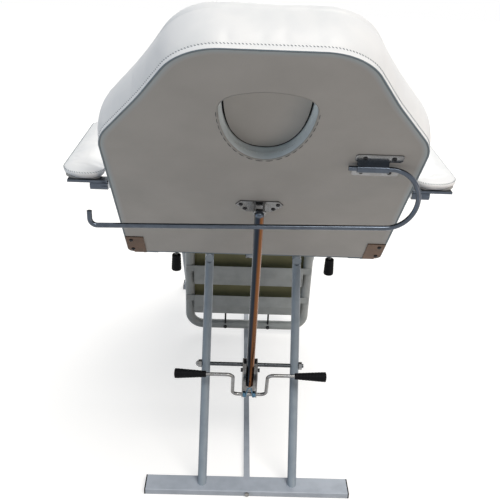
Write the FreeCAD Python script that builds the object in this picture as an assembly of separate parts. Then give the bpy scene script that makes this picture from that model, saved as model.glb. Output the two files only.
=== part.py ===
import FreeCAD, Part
import math
import os

# Facial bed on a tubular stand, in millimetres.
# +X is to the right when seen from the head end, +Y runs from the head end to the foot end, +Z is up.
# Lengths along Y are first measured from the lower edge of the reclined back board.
# The finished pieces are then moved so that the origin lies on the floor at the middle of the bed.

V = FreeCAD.Vector

# Stand
HEAD_BAR_Y = -182.0
HEAD_BAR_LENGTH = 500.0
FOOT_BAR_Y = 900.0
FOOT_BAR_END = 15.0
BAR_DEPTH = 54.0
BAR_HEIGHT = 16.0
BAR_WALL = 2.0
BAR_EDGE_RADIUS = 2.5
CAP_THICKNESS = 3.0
BEAM_WIDTH = 15.0
BEAM_BOTTOM = 1.0
BEAM_TOP = 14.0
BEAM_BOLT_RADIUS = 5.5
BEAM_BOLT_HEIGHT = 4.0
TUBE_RADIUS = 11.0
TUBE_WALL = 1.6
REAR_LEG_SPREAD = 224.0
REAR_LEG_LEAN = 30.2
FRONT_LEG_GAP = 3.0
RAIL_TOP = 518.0
RAIL_OVERHANG = 12.0
COPE_GAP = 3.0
FRONT_TUBE_Y = 478.0
REAR_TUBE_Y = 160.0

# Cross axle between the rear legs
AXLE_Z = 271.0
AXLE_RADIUS = 5.0
AXLE_LENGTH = 270.0
NUT_WIDTH = 17.0
NUT_HEIGHT = 8.0

# Backrest
RECLINE = 48.8
BACK_EDGE_Z = 564.0
BACK_WIDTH = 604.0
BACK_LENGTH = 752.0
BACK_SHOULDER = 497.0
BACK_HEAD_WIDTH = 282.0
BACK_WAIST = 5.0
SHOULDER_RADIUS = 110.0
WAIST_RADIUS = 600.0
HEAD_RADIUS = 110.0
LOWER_RADIUS = 14.0
BOARD_THICKNESS = 15.0
BACK_FOAM = 80.0
BACK_BULGE = 6.0
CROWN = 8.0
PIVOT_BELOW = 43.0
PIVOT_FORWARD = 40.0
PIVOT_RADIUS = 5.0
HINGE_X = 272.0
HINGE_PLATE = 5.0
HINGE_BOSS_RADIUS = 13.0
HINGE_FOOT_WIDTH = 30.0
SIDE_GAP = 0.5

# Face hole and its plug
HOLE_HALF_WIDTH = 86.0
HOLE_SHOULDER = 597.0
HOLE_TOP_RISE = 52.0
HOLE_TOP_RADIUS = 44.0
HOLE_LOWER_DROP = 159.0
LINER_THICKNESS = 4.0
PLUG_RECESS = 30.0
PLUG_GAP = 0.4

# Corner plates of the back board
CORNER_WIDTH = 42.0
CORNER_HEIGHT = 82.0
CORNER_SCREW_INSET = 12.0
PLATE_THICKNESS = 2.0

# Strut, its bracket and its lock
STRUT_RADIUS = 10.0
STRUT_OFFSET = 18.0
STRUT_TAIL = 56.0
STRUT_TIP = 14.0
STRUT_TIP_RADIUS = 4.0
STRUT_PIN_STANDOFF = 16.0
STRUT_PIN_RADIUS = 4.0
PIN_END = 3.0
STRUT_LUG_HALF = 7.0
EAR_THICKNESS = 4.0
BRACKET_HALF_WIDTH = 50.0
BRACKET_HEIGHT = 44.0
BRACKET_THICKNESS = 3.0
RUNNING_GAP = 0.1
SLIDE_GAP = 0.4
CHANNEL_HALF_WIDTH = 19.0
CHANNEL_WALL = 2.5
CHANNEL_TOP = 9.0
CHANNEL_BOTTOM = 85.0
CHANNEL_BACK = 13.0
CHANNEL_FRONT = 39.0
CHANNEL_CHAMFER = 10.0
GUIDE_BELOW = 12.0
GUIDE_LIP = 2.0
GUIDE_AXLE_GAP = 1.0
LOCK_BOLT_RADIUS = 5.0
LOCK_BOLT_HEIGHT = 5.0

# Back lever
LEVER_RADIUS = 4.5
LEVER_BELOW = 78.0
LEVER_FORWARD = 33.5
LEVER_SLEEVE_RADIUS = 5.0
LEVER_HALF_THROAT = 43.0
LEVER_RISE = 90.0
LEVER_REACH = 46.0
LEVER_BEND = 15.0
LEVER_HALF_LENGTH = 186.0
GRIP_LENGTH = 76.0
GRIP_END = 4.0
GRIP_RADIUS_OUTER = 12.0
GRIP_RADIUS_INNER = 7.5

# Towel bar
TOWEL_HEIGHT = 435.0
TOWEL_STANDOFF = 9.0
TOWEL_RADIUS = 5.0
TOWEL_DROP = 119.5
TOWEL_SAG = 1.3
TOWEL_STUB = 10.0
TOWEL_BEND_REACH = 70.0
TOWEL_OVERHANG = 28.0
TOWEL_TIP = 30.0
TOWEL_TIP_BEND = 14.0
SADDLE_INSET = 132.0
SADDLE_LENGTH = 90.0
SADDLE_FLANGE = 24.0
SADDLE_HALF_HEIGHT = 37.0
SADDLE_WALL = 2.5
SADDLE_CORNER = 7.0
SADDLE_HUMP_START = 6.0
SADDLE_HUMP_END = 24.0

# Seat
SEAT_REAR_Y = 90.0
SEAT_FRONT_Y = 486.0
SEAT_REAR_WIDTH = 600.0
SEAT_FRONT_WIDTH = 450.0
SEAT_REAR_RADIUS = 26.0
SEAT_FRONT_RADIUS = 60.0
SEAT_FOAM = 78.0
SEAT_BULGE = 6.0
BOARD_INSET = 8.0

# Leg rest
LEG_PIVOT_Y = 507.0
LEG_HANG = 82.0
LEG_TUBE_RADIUS = 15.0
LEG_FRAME_WIDTH = 412.0
LEG_FRAME_LENGTH = 479.0
LEG_FRAME_BEND = 45.0
LEG_ROD_RADIUS = 6.0
LEG_SLEEVE_RADIUS = 11.0
LEG_SLEEVE_LENGTH = 78.0
SLAT_STARTS = (110.0, 233.0, 350.0)
SLAT_HEIGHT = 72.0
SLAT_THICKNESS = 2.0
SLAT_FOLD = 7.0
SLAT_TAB_HEIGHT = 22.0
SLAT_TAB_INSET = 4.0
LEG_BOARD_THICKNESS = 12.0
LEG_BOARD_START = 18.0
LEG_BOARD_END = 418.0
LEG_FOAM = 68.0
LEG_BULGE = 5.0
LEG_CUSHION_HALF_WIDTH = 192.0
LEG_STUD_X = 72.0
LEG_STUD_RADIUS = 3.0
LEG_BOLT_RADIUS = 6.0
LEG_BOLT_HEIGHT = 3.5
LEG_STUD_LEVEL = -9.0

# Leg strut and leg lever
LEG_STRUT_REACH = 170.0
LEG_STRUT_DROP = 44.0
LEG_STRUT_TUBE_RADIUS = 11.0
LEG_STRUT_ROD_RADIUS = 8.0
LEG_STRUT_TUBE_LENGTH = 182.0
LEG_STRUT_ROD_LENGTH = 178.0
LEG_STRUT_PIN_RADIUS = 4.0
LEG_STRUT_BLIND = 6.0
LEG_LUG_FOOT = 16.0
LEG_LEVER_BACK = 26.0
LOCK_EAR_MARGIN = 10.0
LEG_LEVER_X = 198.0
LEG_GRIP_Y = 112.0
LEG_GRIP_Z = 508.0
LEG_GRIP_LENGTH = 46.0
LEG_GRIP_RADIUS = 10.0
LEG_GRIP_TAPER = 0.8
LEG_GRIP_BELOW = 3.0
LEG_GRIP_BEND = 8.0

# Armrests
ARM_PIVOT_HEIGHT = 312.0
ARM_PIN_RADIUS = 6.0
ARM_GAP = 16.0
ARM_WIDTH = 86.0
ARM_LENGTH = 400.0
ARM_BEHIND = 10.0
ARM_LIFT = 12.0
ARM_FOAM = 16.0
ARM_CROWN = 8.0
ARM_BULGE = 3.0
ARM_BASE = 6.0
ARM_BAR_WIDTH = 26.0
ARM_BAR_THICKNESS = 5.0
ARM_BARREL_RADIUS = 11.0
ARM_BAR_INSET = 16.0
ARM_SPINE_INSET = 20.0
ARM_SPINE_SHARE = 0.6
ARM_PIN_SHARE = 0.3
ARM_COLLAR = 6.0
ARM_INNER_RADIUS = 22.0
ARM_OUTER_RADIUS = 36.0

# Screws
SCREW_RADIUS = 4.0
SCREW_HEIGHT = 2.0

# Least radius of a corner that is drawn in
LEAST_RADIUS = 1.0


# Sizes that follow from the ones above
CUT_REACH = 5 * TUBE_RADIUS
FRONT_LEG_SPREAD = LEG_FRAME_WIDTH + 2 * (TUBE_RADIUS + FRONT_LEG_GAP)
FOOT_BAR_LENGTH = FRONT_LEG_SPREAD + 2 * FOOT_BAR_END
SADDLE_X = BACK_WIDTH / 2 - SADDLE_INSET
TOWEL_START_X = SADDLE_X - TOWEL_STUB
TOWEL_BEND_X = SADDLE_X + TOWEL_BEND_REACH
TOWEL_END_X = -BACK_WIDTH / 2 - TOWEL_OVERHANG


def side(y, z):
    return V(0, y, z)


def turned(y, z, degrees):
    angle = math.radians(degrees)
    return side(y * math.cos(angle) - z * math.sin(angle), y * math.sin(angle) + z * math.cos(angle))


def frame(origin, y_axis, z_axis):
    x_axis = y_axis.cross(z_axis)
    matrix = FreeCAD.Matrix(
        x_axis.x, y_axis.x, z_axis.x, origin.x,
        x_axis.y, y_axis.y, z_axis.y, origin.y,
        x_axis.z, y_axis.z, z_axis.z, origin.z,
        0, 0, 0, 1)
    return FreeCAD.Placement(matrix)


def placed(place, shape):
    return shape.transformed(place.toMatrix())


def box(x0, x1, y0, y1, z0, z1):
    return Part.makeBox(x1 - x0, y1 - y0, z1 - z0, V(x0, y0, z0))


def rod(start, end, radius):
    return Part.makeCylinder(radius, (end - start).Length, start, end - start)


def tube(start, end, radius, wall):
    return rod(start, end, radius).cut(rod(start, end, radius - wall))


def cross_rod(x0, x1, y, z, radius):
    return rod(V(x0, y, z), V(x1, y, z), radius)


def prism(points, x0, x1):
    corners = [V(x0, y, z) for y, z in points]
    return Part.Face(Part.makePolygon(corners + corners[:1])).extrude(V(x1 - x0, 0, 0))


def plate(points, z0, z1):
    corners = [V(x, y, z0) for x, y in points]
    return Part.Face(Part.makePolygon(corners + corners[:1])).extrude(V(0, 0, z1 - z0))


def fuse(shapes):
    return shapes[0].multiFuse(shapes[1:]).removeSplitter()


def mirrored(shape):
    return shape.mirror(V(0, 0, 0), V(1, 0, 0))


def both_sides(shape):
    return Part.makeCompound([shape, mirrored(shape)])


def arc_corner(before, corner, after, radius):
    back = (before - corner).normalize()
    on = (after - corner).normalize()
    half = back.getAngle(on) / 2
    start = corner + back * (radius / math.tan(half))
    end = corner + on * (radius / math.tan(half))
    centre = corner + (back + on).normalize() * (radius / math.sin(half))
    middle = centre + (corner - centre).normalize() * radius
    return start, middle, end


def bent_rod(points, bends, radius):
    edges = []
    last = points[0]
    for before, corner, after, bend in zip(points, points[1:], points[2:], bends):
        start, middle, end = arc_corner(before, corner, after, bend)
        edges.append(Part.LineSegment(last, start).toShape())
        edges.append(Part.Arc(start, middle, end).toShape())
        last = end
    edges.append(Part.LineSegment(last, points[-1]).toShape())
    section = Part.Wire(Part.makeCircle(radius, points[0], points[1] - points[0]))
    return Part.Wire(edges).makePipeShell([section], True, False)


def offset_corners(points, outset):
    moved = []
    count = len(points)
    for i in range(count):
        before, here, after = (V(*points[k % count], 0) for k in (i - 1, i, i + 1))
        into = (here - before).normalize()
        out = (after - here).normalize()
        turn = into.getAngle(out)
        outward = (into - out).normalize()
        if into.cross(out).z < 0:
            outward = outward * -1
        moved.append(here + outward * (outset / math.cos(turn / 2)))
    return moved


# A radius below zero belongs to a corner that bends inwards.
def outline(points, radii, outset, z):
    corners = offset_corners(points, outset)
    count = len(corners)
    rounds = []
    for i in range(count):
        grown = math.copysign(1, radii[i]) * (radii[i] + outset)
        radius = max(grown, LEAST_RADIUS)
        rounds.append(arc_corner(corners[i - 1], corners[i], corners[(i + 1) % count], radius))
    edges = []
    for i in range(count):
        start, middle, end = rounds[i]
        edges.append(Part.Arc(start, middle, end).toShape())
        edges.append(Part.LineSegment(end, rounds[(i + 1) % count][0]).toShape())
    wire = Part.Wire(edges)
    wire.translate(V(0, 0, z))
    return wire


def board(points, radii, outset, z0, z1):
    return Part.Face(outline(points, radii, outset, z0)).extrude(V(0, 0, z1 - z0))


# Height as a share of the foam, outset as a share of the bulge: the sides are drawn in at both seams.
SIDE_SECTION = ((0.0, 0.0), (0.22, 0.8), (0.45, 1.0), (0.7, 0.5), (0.88, -0.7), (1.0, -2.6))
# Height as a share of the crown, inset as a share of the half width.
CROWN_SECTION = ((0.6, 0.4), (1.0, 0.7))


def cushion(points, radii, foam, bulge, crown, half_width):
    wires = [outline(points, radii, bulge * out, foam * rise) for rise, out in SIDE_SECTION]
    wires += [outline(points, radii, -half_width * inset, foam + crown * rise) for rise, inset in CROWN_SECTION]
    return Part.makeLoft(wires, True, True)


def screw(x, y, z):
    head = Part.makeCylinder(SCREW_RADIUS, SCREW_HEIGHT * 0.5, V(x, y, z))
    dome = Part.makeCone(SCREW_RADIUS, SCREW_RADIUS * 0.6, SCREW_HEIGHT * 0.5, V(x, y, z + SCREW_HEIGHT * 0.5))
    return head.fuse(dome).removeSplitter()


def hexagon(x, y, z, height):
    points = []
    for k in range(6):
        angle = math.radians(60 * k)
        reach = NUT_WIDTH / math.sqrt(3)
        points.append((y + reach * math.cos(angle), z + reach * math.sin(angle)))
    return prism(points, x, x + height)


# Frames of the backrest, the strut and the leg rest.
# Back: x across, y up the board, z out of its rear face. Strut: y away from the head end, z up the strut.
# Leg rest: y from its hinge to its free end, z towards its cushion.
up_board = turned(-1, 0, -RECLINE)
out_of_rear = V(1, 0, 0).cross(up_board)
BACK = frame(side(0, BACK_EDGE_Z), up_board, out_of_rear)
back_pivot = BACK.multVec(side(-PIVOT_BELOW, -PIVOT_FORWARD))

rail_z = RAIL_TOP - TUBE_RADIUS
rear_slope = math.tan(math.radians(REAR_LEG_LEAN))
axle = side(HEAD_BAR_Y + (AXLE_Z - BAR_HEIGHT) * rear_slope, AXLE_Z)

# The strut pin lies as far from the back hinge as the axle does.
# The strut and its lock then turn at exactly half the rate of the back.
pivot_to_axle = (axle - back_pivot).Length
pin_offset = STRUT_PIN_STANDOFF + PIVOT_FORWARD
pin_height = math.sqrt(pivot_to_axle ** 2 - pin_offset ** 2) - PIVOT_BELOW
strut_pin = BACK.multVec(side(pin_height, STRUT_PIN_STANDOFF))
strut_span = (strut_pin - axle).Length
up_strut = (strut_pin - axle).normalize()
STRUT = frame(axle, up_strut.cross(V(1, 0, 0)), up_strut)

leg_pivot = side(LEG_PIVOT_Y, rail_z)
LEG = frame(leg_pivot, turned(1, 0, -LEG_HANG), turned(0, 1, -LEG_HANG))
leg_lock = leg_pivot + side(-LEG_STRUT_REACH, -LEG_STRUT_DROP)
leg_pin = LEG.multVec(side(LEG_STRUT_REACH, -LEG_STRUT_DROP))
along_leg_strut = (leg_pin - leg_lock).normalize()
LEG_STRUT = frame(leg_lock, along_leg_strut.cross(V(1, 0, 0)), along_leg_strut)
leg_strut_span = (leg_pin - leg_lock).Length

arm_pivot = BACK.multVec(side(ARM_PIVOT_HEIGHT, -BOARD_THICKNESS / 2))
towel_axis = BACK.multVec(side(TOWEL_HEIGHT, TOWEL_STANDOFF))
lever_axis = STRUT.multVec(side(-LEVER_FORWARD, -LEVER_BELOW))
leg_lever_axis = leg_lock + side(-LEG_LEVER_BACK, 0)

shoulder_in = (BACK_WIDTH - BACK_HEAD_WIDTH) / 2
shoulder_up = BACK_LENGTH - BACK_SHOULDER
slant = math.hypot(shoulder_in, shoulder_up)
waist_x = (BACK_WIDTH + BACK_HEAD_WIDTH) / 4 - BACK_WAIST * shoulder_up / slant
waist_y = (BACK_SHOULDER + BACK_LENGTH) / 2 - BACK_WAIST * shoulder_in / slant
BACK_POINTS = (
    (-BACK_WIDTH / 2, 0), (BACK_WIDTH / 2, 0), (BACK_WIDTH / 2, BACK_SHOULDER), (waist_x, waist_y),
    (BACK_HEAD_WIDTH / 2, BACK_LENGTH), (-BACK_HEAD_WIDTH / 2, BACK_LENGTH), (-waist_x, waist_y),
    (-BACK_WIDTH / 2, BACK_SHOULDER))
BACK_RADII = (LOWER_RADIUS, LOWER_RADIUS, SHOULDER_RADIUS, -WAIST_RADIUS, HEAD_RADIUS, HEAD_RADIUS,
              -WAIST_RADIUS, SHOULDER_RADIUS)
SEAT_POINTS = (
    (-SEAT_REAR_WIDTH / 2, SEAT_REAR_Y), (SEAT_REAR_WIDTH / 2, SEAT_REAR_Y),
    (SEAT_FRONT_WIDTH / 2, SEAT_FRONT_Y), (-SEAT_FRONT_WIDTH / 2, SEAT_FRONT_Y))
SEAT_RADII = (SEAT_REAR_RADIUS, SEAT_REAR_RADIUS, SEAT_FRONT_RADIUS, SEAT_FRONT_RADIUS)

nodes = {}
end_caps = []
frame_bolts = []
back_screws = []
leg_bolts = []


def bar_section(x0, x1, y):
    block = box(x0, x1, y - BAR_DEPTH / 2, y + BAR_DEPTH / 2, 0, BAR_HEIGHT)
    return block.makeFillet(BAR_EDGE_RADIUS, [edge for edge in block.Edges if edge.BoundBox.XLength > 0])


def floor_bar(y, length):
    outer = bar_section(-length / 2, length / 2, y)
    inner = box(-length / 2, length / 2, y - BAR_DEPTH / 2 + BAR_WALL, y + BAR_DEPTH / 2 - BAR_WALL,
                BAR_WALL, BAR_HEIGHT - BAR_WALL)
    return outer.cut(inner)


def bar_caps(y, length):
    return both_sides(bar_section(length / 2, length / 2 + CAP_THICKNESS, y))


def stand():
    nodes["head_bar"] = floor_bar(HEAD_BAR_Y, HEAD_BAR_LENGTH)
    nodes["foot_bar"] = floor_bar(FOOT_BAR_Y, FOOT_BAR_LENGTH)
    end_caps.append(bar_caps(HEAD_BAR_Y, HEAD_BAR_LENGTH))
    end_caps.append(bar_caps(FOOT_BAR_Y, FOOT_BAR_LENGTH))
    start = HEAD_BAR_Y + BAR_DEPTH / 2
    end = FOOT_BAR_Y - BAR_DEPTH / 2
    half = BEAM_WIDTH / 2
    nodes["base_beam"] = box(-half, half, start, end, BEAM_BOTTOM, BEAM_TOP).cut(
        box(-half + BAR_WALL, half - BAR_WALL, start, end, BEAM_BOTTOM + BAR_WALL, BEAM_TOP - BAR_WALL))
    for face, away in ((HEAD_BAR_Y - BAR_DEPTH / 2, -1), (FOOT_BAR_Y + BAR_DEPTH / 2, 1)):
        foot = V(0, face, BAR_HEIGHT / 2)
        frame_bolts.append(rod(foot, foot + V(0, away * BEAM_BOLT_HEIGHT, 0), BEAM_BOLT_RADIUS))


def below_bar(x, y):
    return box(x - CUT_REACH, x + CUT_REACH, y - CUT_REACH, y + CUT_REACH, -CUT_REACH, BAR_HEIGHT)


def rear_leg():
    x = REAR_LEG_SPREAD / 2
    foot = V(x, HEAD_BAR_Y, BAR_HEIGHT)
    top = V(x, HEAD_BAR_Y + (rail_z - BAR_HEIGHT) * rear_slope, rail_z)
    along = (top - foot).normalize()
    leg = tube(foot - along * TUBE_RADIUS * 2, top - along * COPE_GAP, TUBE_RADIUS, TUBE_WALL)
    leg = leg.cut(below_bar(x, HEAD_BAR_Y))
    leg = leg.cut(cross_rod(x - CUT_REACH, x + CUT_REACH, axle.y, axle.z, AXLE_RADIUS))
    rail = rod(V(x, top.y - CUT_REACH, rail_z), V(x, top.y + CUT_REACH, rail_z), TUBE_RADIUS)
    return leg.cut(rail), top.y


def front_leg():
    x = FRONT_LEG_SPREAD / 2
    foot = V(x, FOOT_BAR_Y, BAR_HEIGHT)
    top = V(x, FRONT_TUBE_Y, rail_z)
    along = (top - foot).normalize()
    leg = tube(foot - along * TUBE_RADIUS * 3, top - along * COPE_GAP, TUBE_RADIUS, TUBE_WALL)
    leg = leg.cut(below_bar(x, FOOT_BAR_Y))
    return leg.cut(cross_rod(x - CUT_REACH, x + CUT_REACH, FRONT_TUBE_Y, rail_z, TUBE_RADIUS))


def seat_frame():
    leg, rear_top = rear_leg()
    nodes["rear_leg_right"] = leg
    nodes["rear_leg_left"] = mirrored(leg)
    nodes["front_leg_right"] = front_leg()
    nodes["front_leg_left"] = mirrored(nodes["front_leg_right"])
    x = REAR_LEG_SPREAD / 2
    front_half = FRONT_LEG_SPREAD / 2 + TUBE_RADIUS
    front = tube(V(-front_half, FRONT_TUBE_Y, rail_z), V(front_half, FRONT_TUBE_Y, rail_z), TUBE_RADIUS, TUBE_WALL)
    rail = tube(V(x, rear_top - RAIL_OVERHANG, rail_z), V(x, FRONT_TUBE_Y - COPE_GAP, rail_z),
                TUBE_RADIUS, TUBE_WALL)
    rail = rail.cut(cross_rod(-front_half, front_half, FRONT_TUBE_Y, rail_z, TUBE_RADIUS))
    rail_end = rear_top - RAIL_OVERHANG
    end_caps.append(both_sides(rod(V(x, rail_end - CAP_THICKNESS, rail_z), V(x, rail_end, rail_z), TUBE_RADIUS)))
    end_caps.append(both_sides(cross_rod(front_half, front_half + CAP_THICKNESS, FRONT_TUBE_Y, rail_z, TUBE_RADIUS)))
    nodes["front_tube"] = front
    nodes["rail_right"] = rail
    nodes["rail_left"] = mirrored(rail)
    rail_core = rod(V(x, REAR_TUBE_Y - CUT_REACH, rail_z), V(x, leg_lock.y + CUT_REACH, rail_z), TUBE_RADIUS)
    cores = rail_core.fuse(mirrored(rail_core))
    for name, y in (("rear_tube", REAR_TUBE_Y), ("lock_tube", leg_lock.y)):
        nodes[name] = tube(V(-x, y, rail_z), V(x, y, rail_z), TUBE_RADIUS, TUBE_WALL).cut(cores)


def cross_axle():
    half = AXLE_LENGTH / 2
    nodes["cross_axle"] = cross_rod(-half, half, axle.y, axle.z, AXLE_RADIUS)
    seat_x = REAR_LEG_SPREAD / 2 + TUBE_RADIUS
    bore = cross_rod(-half, half, axle.y, axle.z, AXLE_RADIUS)
    right = hexagon(seat_x, axle.y, axle.z, NUT_HEIGHT)
    left = hexagon(-seat_x - NUT_HEIGHT, axle.y, axle.z, NUT_HEIGHT)
    cap = Part.makeSphere(NUT_WIDTH / 2 - SIDE_GAP * 2, V(-seat_x - NUT_HEIGHT, axle.y, axle.z))
    cap = cap.common(box(-half - NUT_WIDTH, -seat_x - NUT_HEIGHT, axle.y - NUT_WIDTH, axle.y + NUT_WIDTH,
                         axle.z - NUT_WIDTH, axle.z + NUT_WIDTH))
    nodes["axle_nuts"] = Part.makeCompound([left.fuse(cap).removeSplitter().cut(bore), right.cut(bore)])


def seat():
    base = RAIL_TOP
    nodes["seat_board"] = board(SEAT_POINTS, SEAT_RADII, -BOARD_INSET, base, base + BOARD_THICKNESS)
    pad = cushion(SEAT_POINTS, SEAT_RADII, SEAT_FOAM, SEAT_BULGE, CROWN, SEAT_FRONT_WIDTH / 2 - SEAT_BULGE)
    pad.translate(V(0, 0, base + BOARD_THICKNESS))
    nodes["seat_cushion"] = pad
    for x in (-REAR_LEG_SPREAD / 2, REAR_LEG_SPREAD / 2):
        for y in (REAR_TUBE_Y, leg_lock.y):
            spot = V(x, y + TUBE_RADIUS * 2.5, RAIL_TOP - 2 * TUBE_RADIUS)
            frame_bolts.append(rod(spot - V(0, 0, SCREW_HEIGHT * 2), spot, SCREW_RADIUS))


def back_hinge():
    y, z = back_pivot.y, back_pivot.z
    x0 = HINGE_X
    x1 = HINGE_X + HINGE_PLATE
    round_off = HINGE_BOSS_RADIUS * math.sqrt(0.5)
    foot_rear = SEAT_REAR_Y + BOARD_INSET
    under_cushion = RAIL_TOP + BOARD_THICKNESS - SIDE_GAP
    boss = cross_rod(x0, x1, y, z, HINGE_BOSS_RADIUS)
    seat_edge = foot_rear - HINGE_PLATE
    web = prism([(y - round_off, z - round_off), (y + HINGE_BOSS_RADIUS, z), (y + HINGE_BOSS_RADIUS * 1.4, under_cushion),
                 (foot_rear, under_cushion), (foot_rear, RAIL_TOP), (seat_edge - HINGE_BOSS_RADIUS, RAIL_TOP + HINGE_PLATE)],
                x0, x1)
    foot = box(x0 - HINGE_FOOT_WIDTH, x1, seat_edge, foot_rear, RAIL_TOP, under_cushion)
    nodes["seat_hinges"] = both_sides(fuse([boss, web, foot]).cut(cross_rod(x0, x1, y, z, PIVOT_RADIUS)))
    arm_x1 = x0 - SIDE_GAP
    arm_x0 = arm_x1 - HINGE_PLATE
    nodes["hinge_pins"] = both_sides(cross_rod(arm_x0 - PLATE_THICKNESS, x1 + PLATE_THICKNESS, y, z, PIVOT_RADIUS))

    below, ahead = -PIVOT_BELOW, -PIVOT_FORWARD
    arm = prism([(-PLATE_THICKNESS, -BOARD_THICKNESS), (-PLATE_THICKNESS, 0), (below - round_off, ahead + round_off),
                 (below + round_off, ahead - round_off)], arm_x0, arm_x1)
    eye = cross_rod(arm_x0, arm_x1, below, ahead, HINGE_BOSS_RADIUS)
    bore = cross_rod(arm_x0, arm_x1, below, ahead, PIVOT_RADIUS + RUNNING_GAP)
    nodes["hinge_arms"] = placed(BACK, both_sides(fuse([arm, eye]).cut(bore)))


def face_shape(shrink, z0, z1):
    a = HOLE_HALF_WIDTH - shrink
    b = HOLE_LOWER_DROP - shrink
    rise = HOLE_TOP_RISE - shrink
    corner = HOLE_TOP_RADIUS - shrink
    flat = a - corner
    arch = (flat ** 2 + rise ** 2 - corner ** 2) / (2 * (rise - corner))
    lean = math.atan2(flat, arch - rise)

    def spot(x, up):
        return V(x, HOLE_SHOULDER + up, z0)

    ellipse = Part.Ellipse(spot(0, -b), spot(a, 0), spot(0, 0))
    edges = [ellipse.toShape(-math.pi / 2, math.pi / 2)]
    meet_x = arch * math.sin(lean)
    meet_up = rise - arch + arch * math.cos(lean)
    half = (lean + math.pi / 2) / 2
    for sign in (-1, 1):
        middle = spot(sign * (flat + corner * math.sin(half)), corner * math.cos(half))
        edges.append(Part.Arc(spot(sign * a, 0), middle, spot(sign * meet_x, meet_up)).toShape())
    edges.append(Part.Arc(spot(-meet_x, meet_up), spot(0, rise), spot(meet_x, meet_up)).toShape())
    return Part.Face(Part.Wire(Part.__sortEdges__(edges))).extrude(V(0, 0, z1 - z0))


def backrest():
    deep = -BOARD_THICKNESS - BACK_FOAM - CROWN * 2
    hole = face_shape(0, deep, BOARD_THICKNESS)
    panel = board(BACK_POINTS, BACK_RADII, 0, -BOARD_THICKNESS, 0)
    nodes["back_board"] = placed(BACK, panel.cut(hole))
    pad = cushion(BACK_POINTS, BACK_RADII, BACK_FOAM, BACK_BULGE, CROWN, BACK_HEAD_WIDTH / 2)
    pad = pad.mirror(V(0, 0, 0), V(0, 0, 1))
    pad.translate(V(0, 0, -BOARD_THICKNESS))
    nodes["back_cushion"] = placed(BACK, pad.cut(hole))
    front = -BOARD_THICKNESS - BACK_FOAM - CROWN * 0.6
    liner = face_shape(0, front, 0).cut(face_shape(LINER_THICKNESS, front, 0))
    nodes["face_liner"] = placed(BACK, liner)
    nodes["face_plug"] = placed(BACK, face_shape(LINER_THICKNESS + PLUG_GAP, front - CROWN, -PLUG_RECESS))


def corner_plates():
    outer = BACK_WIDTH / 2
    corner = plate([(outer - CORNER_WIDTH, 0), (outer - LOWER_RADIUS, 0), (outer, LOWER_RADIUS),
                    (outer, CORNER_HEIGHT), (outer - CORNER_WIDTH, CORNER_HEIGHT)], 0, PLATE_THICKNESS)
    lip = box(outer - CORNER_WIDTH, outer - LOWER_RADIUS, -PLATE_THICKNESS, 0, -BOARD_THICKNESS, PLATE_THICKNESS)
    corner = fuse([corner, lip])
    nodes["corner_plates"] = placed(BACK, both_sides(corner))
    for y in (CORNER_HEIGHT * 0.2, CORNER_HEIGHT * 0.78):
        back_screws.append(both_sides(screw(outer - CORNER_SCREW_INSET, y, PLATE_THICKNESS)))


def strut_bracket():
    top = pin_height + BRACKET_HEIGHT * 0.55
    low = top - BRACKET_HEIGHT
    wide = BRACKET_HALF_WIDTH
    base = plate([(-wide * 0.55, low), (wide * 0.55, low), (wide, top - BRACKET_HEIGHT * 0.35),
                  (wide * 0.8, top), (-wide * 0.8, top), (-wide, top - BRACKET_HEIGHT * 0.35)],
                 0, BRACKET_THICKNESS)
    ear_x0 = STRUT_LUG_HALF + SIDE_GAP
    ear_x1 = ear_x0 + EAR_THICKNESS
    reach = STRUT_PIN_RADIUS * 2
    ear = box(ear_x0, ear_x1, pin_height - reach, pin_height + reach, BRACKET_THICKNESS, STRUT_PIN_STANDOFF)
    ear = ear.fuse(cross_rod(ear_x0, ear_x1, pin_height, STRUT_PIN_STANDOFF, reach))
    pin = cross_rod(-ear_x1 - PIN_END, ear_x1 + PIN_END, pin_height, STRUT_PIN_STANDOFF, STRUT_PIN_RADIUS)
    bracket = fuse([base, ear, mirrored(ear)]).cut(pin)
    for x, y in ((wide * 0.78, top - BRACKET_HEIGHT * 0.3), (wide * 0.6, top - BRACKET_HEIGHT * 0.72)):
        back_screws.append(both_sides(screw(x, y, BRACKET_THICKNESS)))
    nodes["strut_bracket"] = placed(BACK, bracket)
    nodes["strut_pin"] = placed(BACK, pin)


def strut():
    line = -STRUT_OFFSET
    top = strut_span + STRUT_PIN_RADIUS * 2
    body = rod(V(0, line, -STRUT_TAIL), V(0, line, top), STRUT_RADIUS)
    body = body.fuse(Part.makeSphere(STRUT_RADIUS, V(0, line, top), V(0, 0, 1), 0, 90, 360))
    eye = cross_rod(-STRUT_LUG_HALF, STRUT_LUG_HALF, 0, strut_span, STRUT_PIN_RADIUS * 2)
    neck = box(-STRUT_LUG_HALF, STRUT_LUG_HALF, line, 0, strut_span - STRUT_PIN_RADIUS * 2, top)
    lug = fuse([eye, neck]).cut(rod(V(0, line, 0), V(0, line, top + CUT_REACH), STRUT_RADIUS))
    lug = lug.cut(cross_rod(-CUT_REACH, CUT_REACH, 0, strut_span, STRUT_PIN_RADIUS + RUNNING_GAP))
    nodes["strut"] = placed(STRUT, fuse([body, lug]))
    low = -STRUT_TAIL - STRUT_TIP
    nodes["strut_tip"] = placed(STRUT, Part.makeCone(STRUT_TIP_RADIUS, STRUT_RADIUS, STRUT_TIP, V(0, line, low)))


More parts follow.
